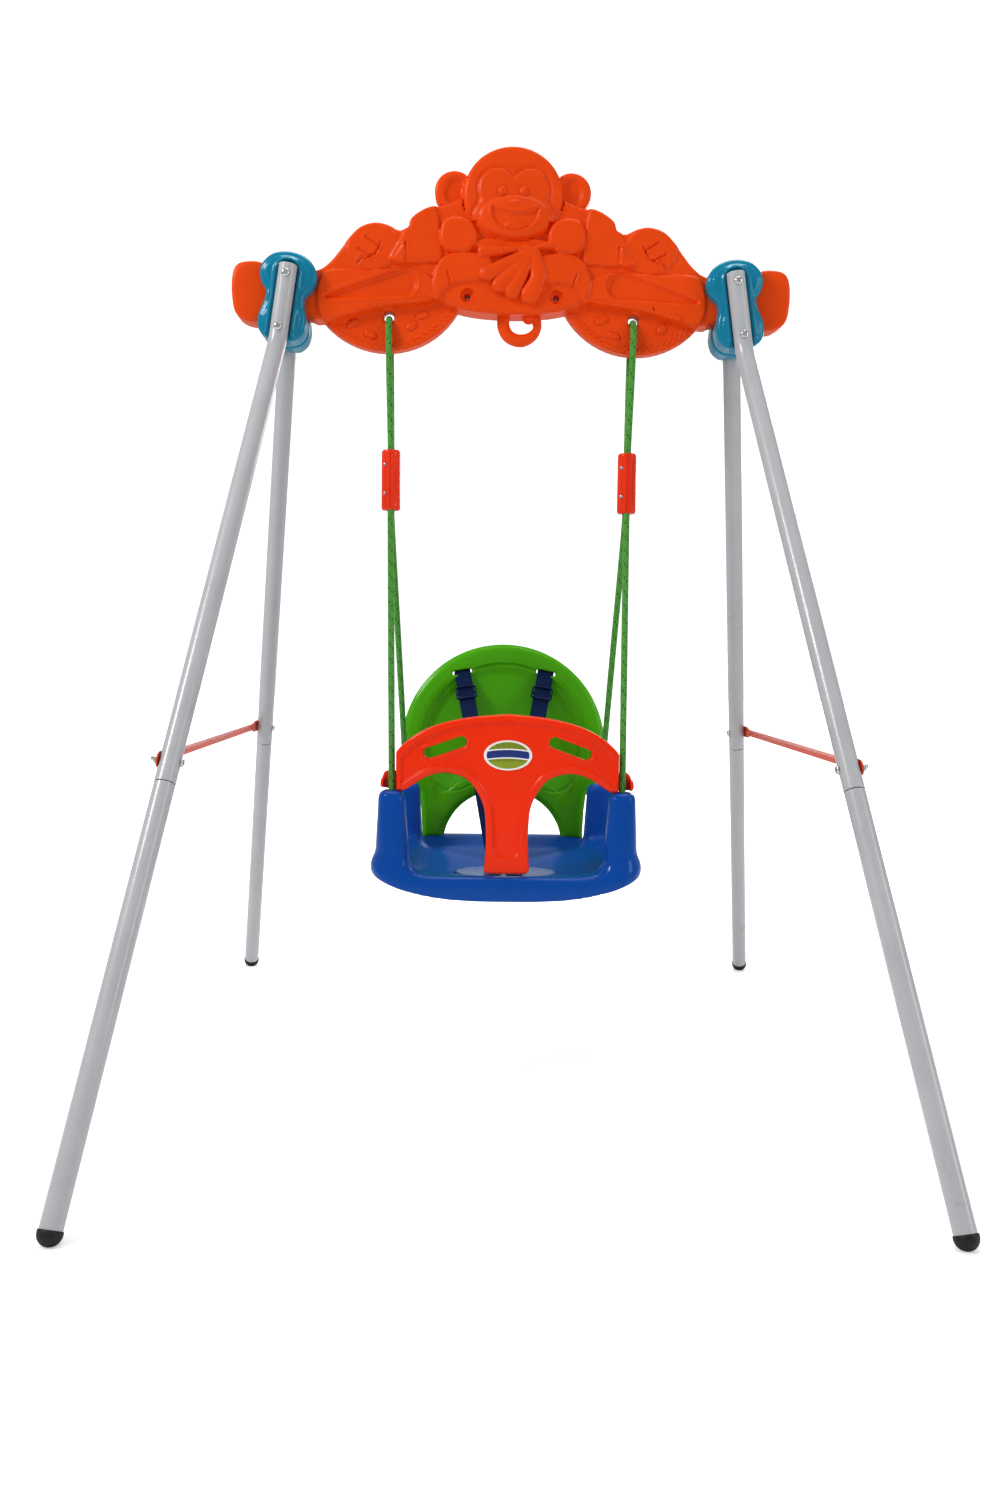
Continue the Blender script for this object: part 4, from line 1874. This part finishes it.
def ribbon(path, across, width, thick, columns=9):
    """A band along a path, with its own across direction at each point and UVs in millimetres."""
    path = np.asarray(path, float)
    tangent = np.gradient(path, axis=0)
    tangent /= np.linalg.norm(tangent, axis=1)[:, None]
    across = np.asarray(across, float)
    across = across - tangent * np.sum(across * tangent, axis=1)[:, None]
    across /= np.linalg.norm(across, axis=1)[:, None]
    normal = np.cross(tangent, across)
    u = np.linspace(-1, 1, columns)
    half = thick / 2
    edge = half * np.sqrt(np.clip(1 - np.clip((np.abs(u) - 0.93) / 0.08, 0, 1) ** 2, 0.1, 1))
    upper = [(a * width / 2, h) for a, h in zip(u, edge)]
    section = upper + [(a, -h) for a, h in upper[::-1]]
    rings = [[p + a * w + n * h for a, h in section] for p, w, n in zip(path, across, normal)]
    points, faces = skin(rings)
    run = np.concatenate(([0], np.cumsum(np.linalg.norm(np.diff(path, axis=0), axis=1))))
    m = len(section)
    uvs = []
    for i in range(len(path) - 1):
        for j in range(m):
            k = (j + 1) % m
            a, b = section[j][0], section[k][0]
            uvs.append([(a, run[i]), (b, run[i]), (b, run[i + 1]), (a, run[i + 1])])
    uvs += [[(a, 0.0) for a, _ in section[::-1]], [(a, run[-1]) for a, _ in section]]
    return (points, faces), uvs


def slider_shell(width):
    """A ladder slider: a squared loop bent at its sides, and a bar across behind the strap."""
    wide, tall, squareness = width + 5.6, 20.0, 0.32
    loop = []
    for t in np.linspace(0, 2 * math.pi, 72, endpoint=False):
        c, q = math.cos(t), math.sin(t)
        px = math.copysign(abs(c) ** squareness, c) * wide / 2
        bent = -2.6 + 2.0 * ramp((abs(px) - 12.6) / 2.4)
        loop.append((px, bent, math.copysign(abs(q) ** squareness, q) * tall / 2))
    outer = spaced(np.array(loop + loop[:1]), 1.0)
    cross = np.array([(t, 2.3, 0.0) for t in np.linspace(-wide / 2, wide / 2, 12)])
    shell = Shell().add(sweep(outer, superellipse(1.9, 1.35, 3.0, 18), (0, 1, 0)))
    return shell.add(sweep(cross, superellipse(1.1, 2.1, 2.6, 18), (0, 1, 0)))


def anchor_pad():
    """The sewn pad on the pan's floor, with its UVs in millimetres."""
    profile = ((0.02, 0), (0.96, 0), (1.0, 0.6), (1.0, 2.2), (0.96, 2.9), (0.88, 3.0), (0.02, 3.0))
    rings = []
    for share, height in profile:
        flat = superellipse(23 * share, 14 * share, 5, 64)
        rings.append(np.column_stack((flat[:, 0], PAD_Y + flat[:, 1], np.full(64, PAD_UNDERSIDE + height))))
    points, faces = skin(rings)
    return Shell().add((points, faces), [[(points[v][0], points[v][1]) for v in face] for face in faces])


def pad_stitches():
    """The pad's border seam and its crossed seams, stitch by stitch."""
    border = superellipse(20, 11, 5, 90)
    seams = [np.vstack((border, border[:1]))]
    for slope in (0.55, -0.55):
        seams.append(np.array([(t, t * slope) for t in np.linspace(-18, 18, 26)]))
    thread = Shell()
    for seam in seams:
        line = spaced(seam, 3.0)
        for a, b in zip(line[:-1], line[1:]):
            stitch = []
            for t, rise in ((0.12, 0.0), (0.35, 0.35), (0.65, 0.35), (0.88, 0.0)):
                x, y = a + (b - a) * t
                stitch.append((x, PAD_Y + y, PAD_UNDERSIDE + 2.85 + rise))
            thread.add(sweep(stitch, circle(0.38, 6), (0, 0, 1)))
    return thread


class SWING_OT_harness(bpy.types.Operator):
    """Make the shoulder straps, their sliders and the sewn anchor pad"""

    bl_idname = "swing.harness"
    bl_label = "Harness"

    def execute(self, context):
        s = settings().seat
        width, thick = s.webbing_width / MM, s.webbing_thickness / MM
        webbing = woven_webbing("harness_webbing", tuple(s.webbing_colour))
        buckle = moulded_plastic("slider_plastic", tuple(s.slider_colour), rough=0.3, grain=0.12, coat=0.15)
        stitching = moulded_plastic("stitching_thread", tuple(s.thread_colour), rough=0.6, grain=0.3)
        for side, hand in HANDS:
            place, length = strap_frame(side)
            path, across = strap_path(side, place, length)
            name = f"shoulder_strap_{hand}"
            shell = Shell().add(*ribbon(path, across, width, thick))
            strap = make_piece(f"woven_{name}", shell, webbing, "swing", [name], sharp=50)
            seat = np.array(place @ Matrix.Translation((0, 0, -SLIDER_DOWN)))
            shell = slider_shell(width).moved(lambda p, m=seat: p @ m[:3, :3].T + m[:3, 3])
            name = f"strap_slider_{hand}"
            make_piece(f"moulded_{name}", shell, buckle, f"slider_{hand}", [name], sharp=50)
        make_piece("sewn_anchor_pad", anchor_pad(), webbing, "swing", ["harness_anchor"])
        make_piece("anchor_stitching", pad_stitches(), stitching, "swing", [])
        return {"FINISHED"}


# ------------------------------------------------------------ panel and start
STEPS = (
    "stage", "ropes", "legs", "braces", "beam", "brackets", "hardware",
    "seat_pan", "backrest", "guard_bar", "adjusters", "harness",
)


class SWING_PT_panel(bpy.types.Panel):
    """The swing set's pieces, in the order they are made"""

    bl_idname = "SWING_PT_panel"
    bl_label = "Swing Set"
    bl_space_type = "VIEW_3D"
    bl_region_type = "UI"
    bl_category = "Swing Set"

    def draw(self, context):
        column = self.layout.column(align=True)
        for step in STEPS:
            column.operator(f"swing.{step}")
        for group in ("frame", "beam", "seat", "stage"):
            holder = getattr(context.scene.swing_set, group)
            box = self.layout.box()
            box.label(text=group.capitalize())
            for name in holder.bl_rna.properties.keys():
                if name not in {"rna_type", "name"}:
                    box.prop(holder, name)


CLASSES = (
    SwingFrameSettings, SwingBeamSettings, SwingSeatSettings, SwingStageSettings, SwingSetSettings,
    SWING_OT_stage, SWING_OT_ropes, SWING_OT_legs, SWING_OT_braces, SWING_OT_beam, SWING_OT_brackets,
    SWING_OT_hardware, SWING_OT_seat_pan, SWING_OT_backrest, SWING_OT_guard_bar, SWING_OT_adjusters,
    SWING_OT_harness, SWING_PT_panel,
)


def register():
    for item in CLASSES:
        bpy.utils.register_class(item)
    bpy.types.Scene.swing_set = bpy.props.PointerProperty(type=SwingSetSettings)


def unregister():
    del bpy.types.Scene.swing_set
    for item in reversed(CLASSES):
        bpy.utils.unregister_class(item)


def main():
    register()
    for step in STEPS:
        getattr(bpy.ops.swing, step)()


if __name__ == "__main__":
    main()
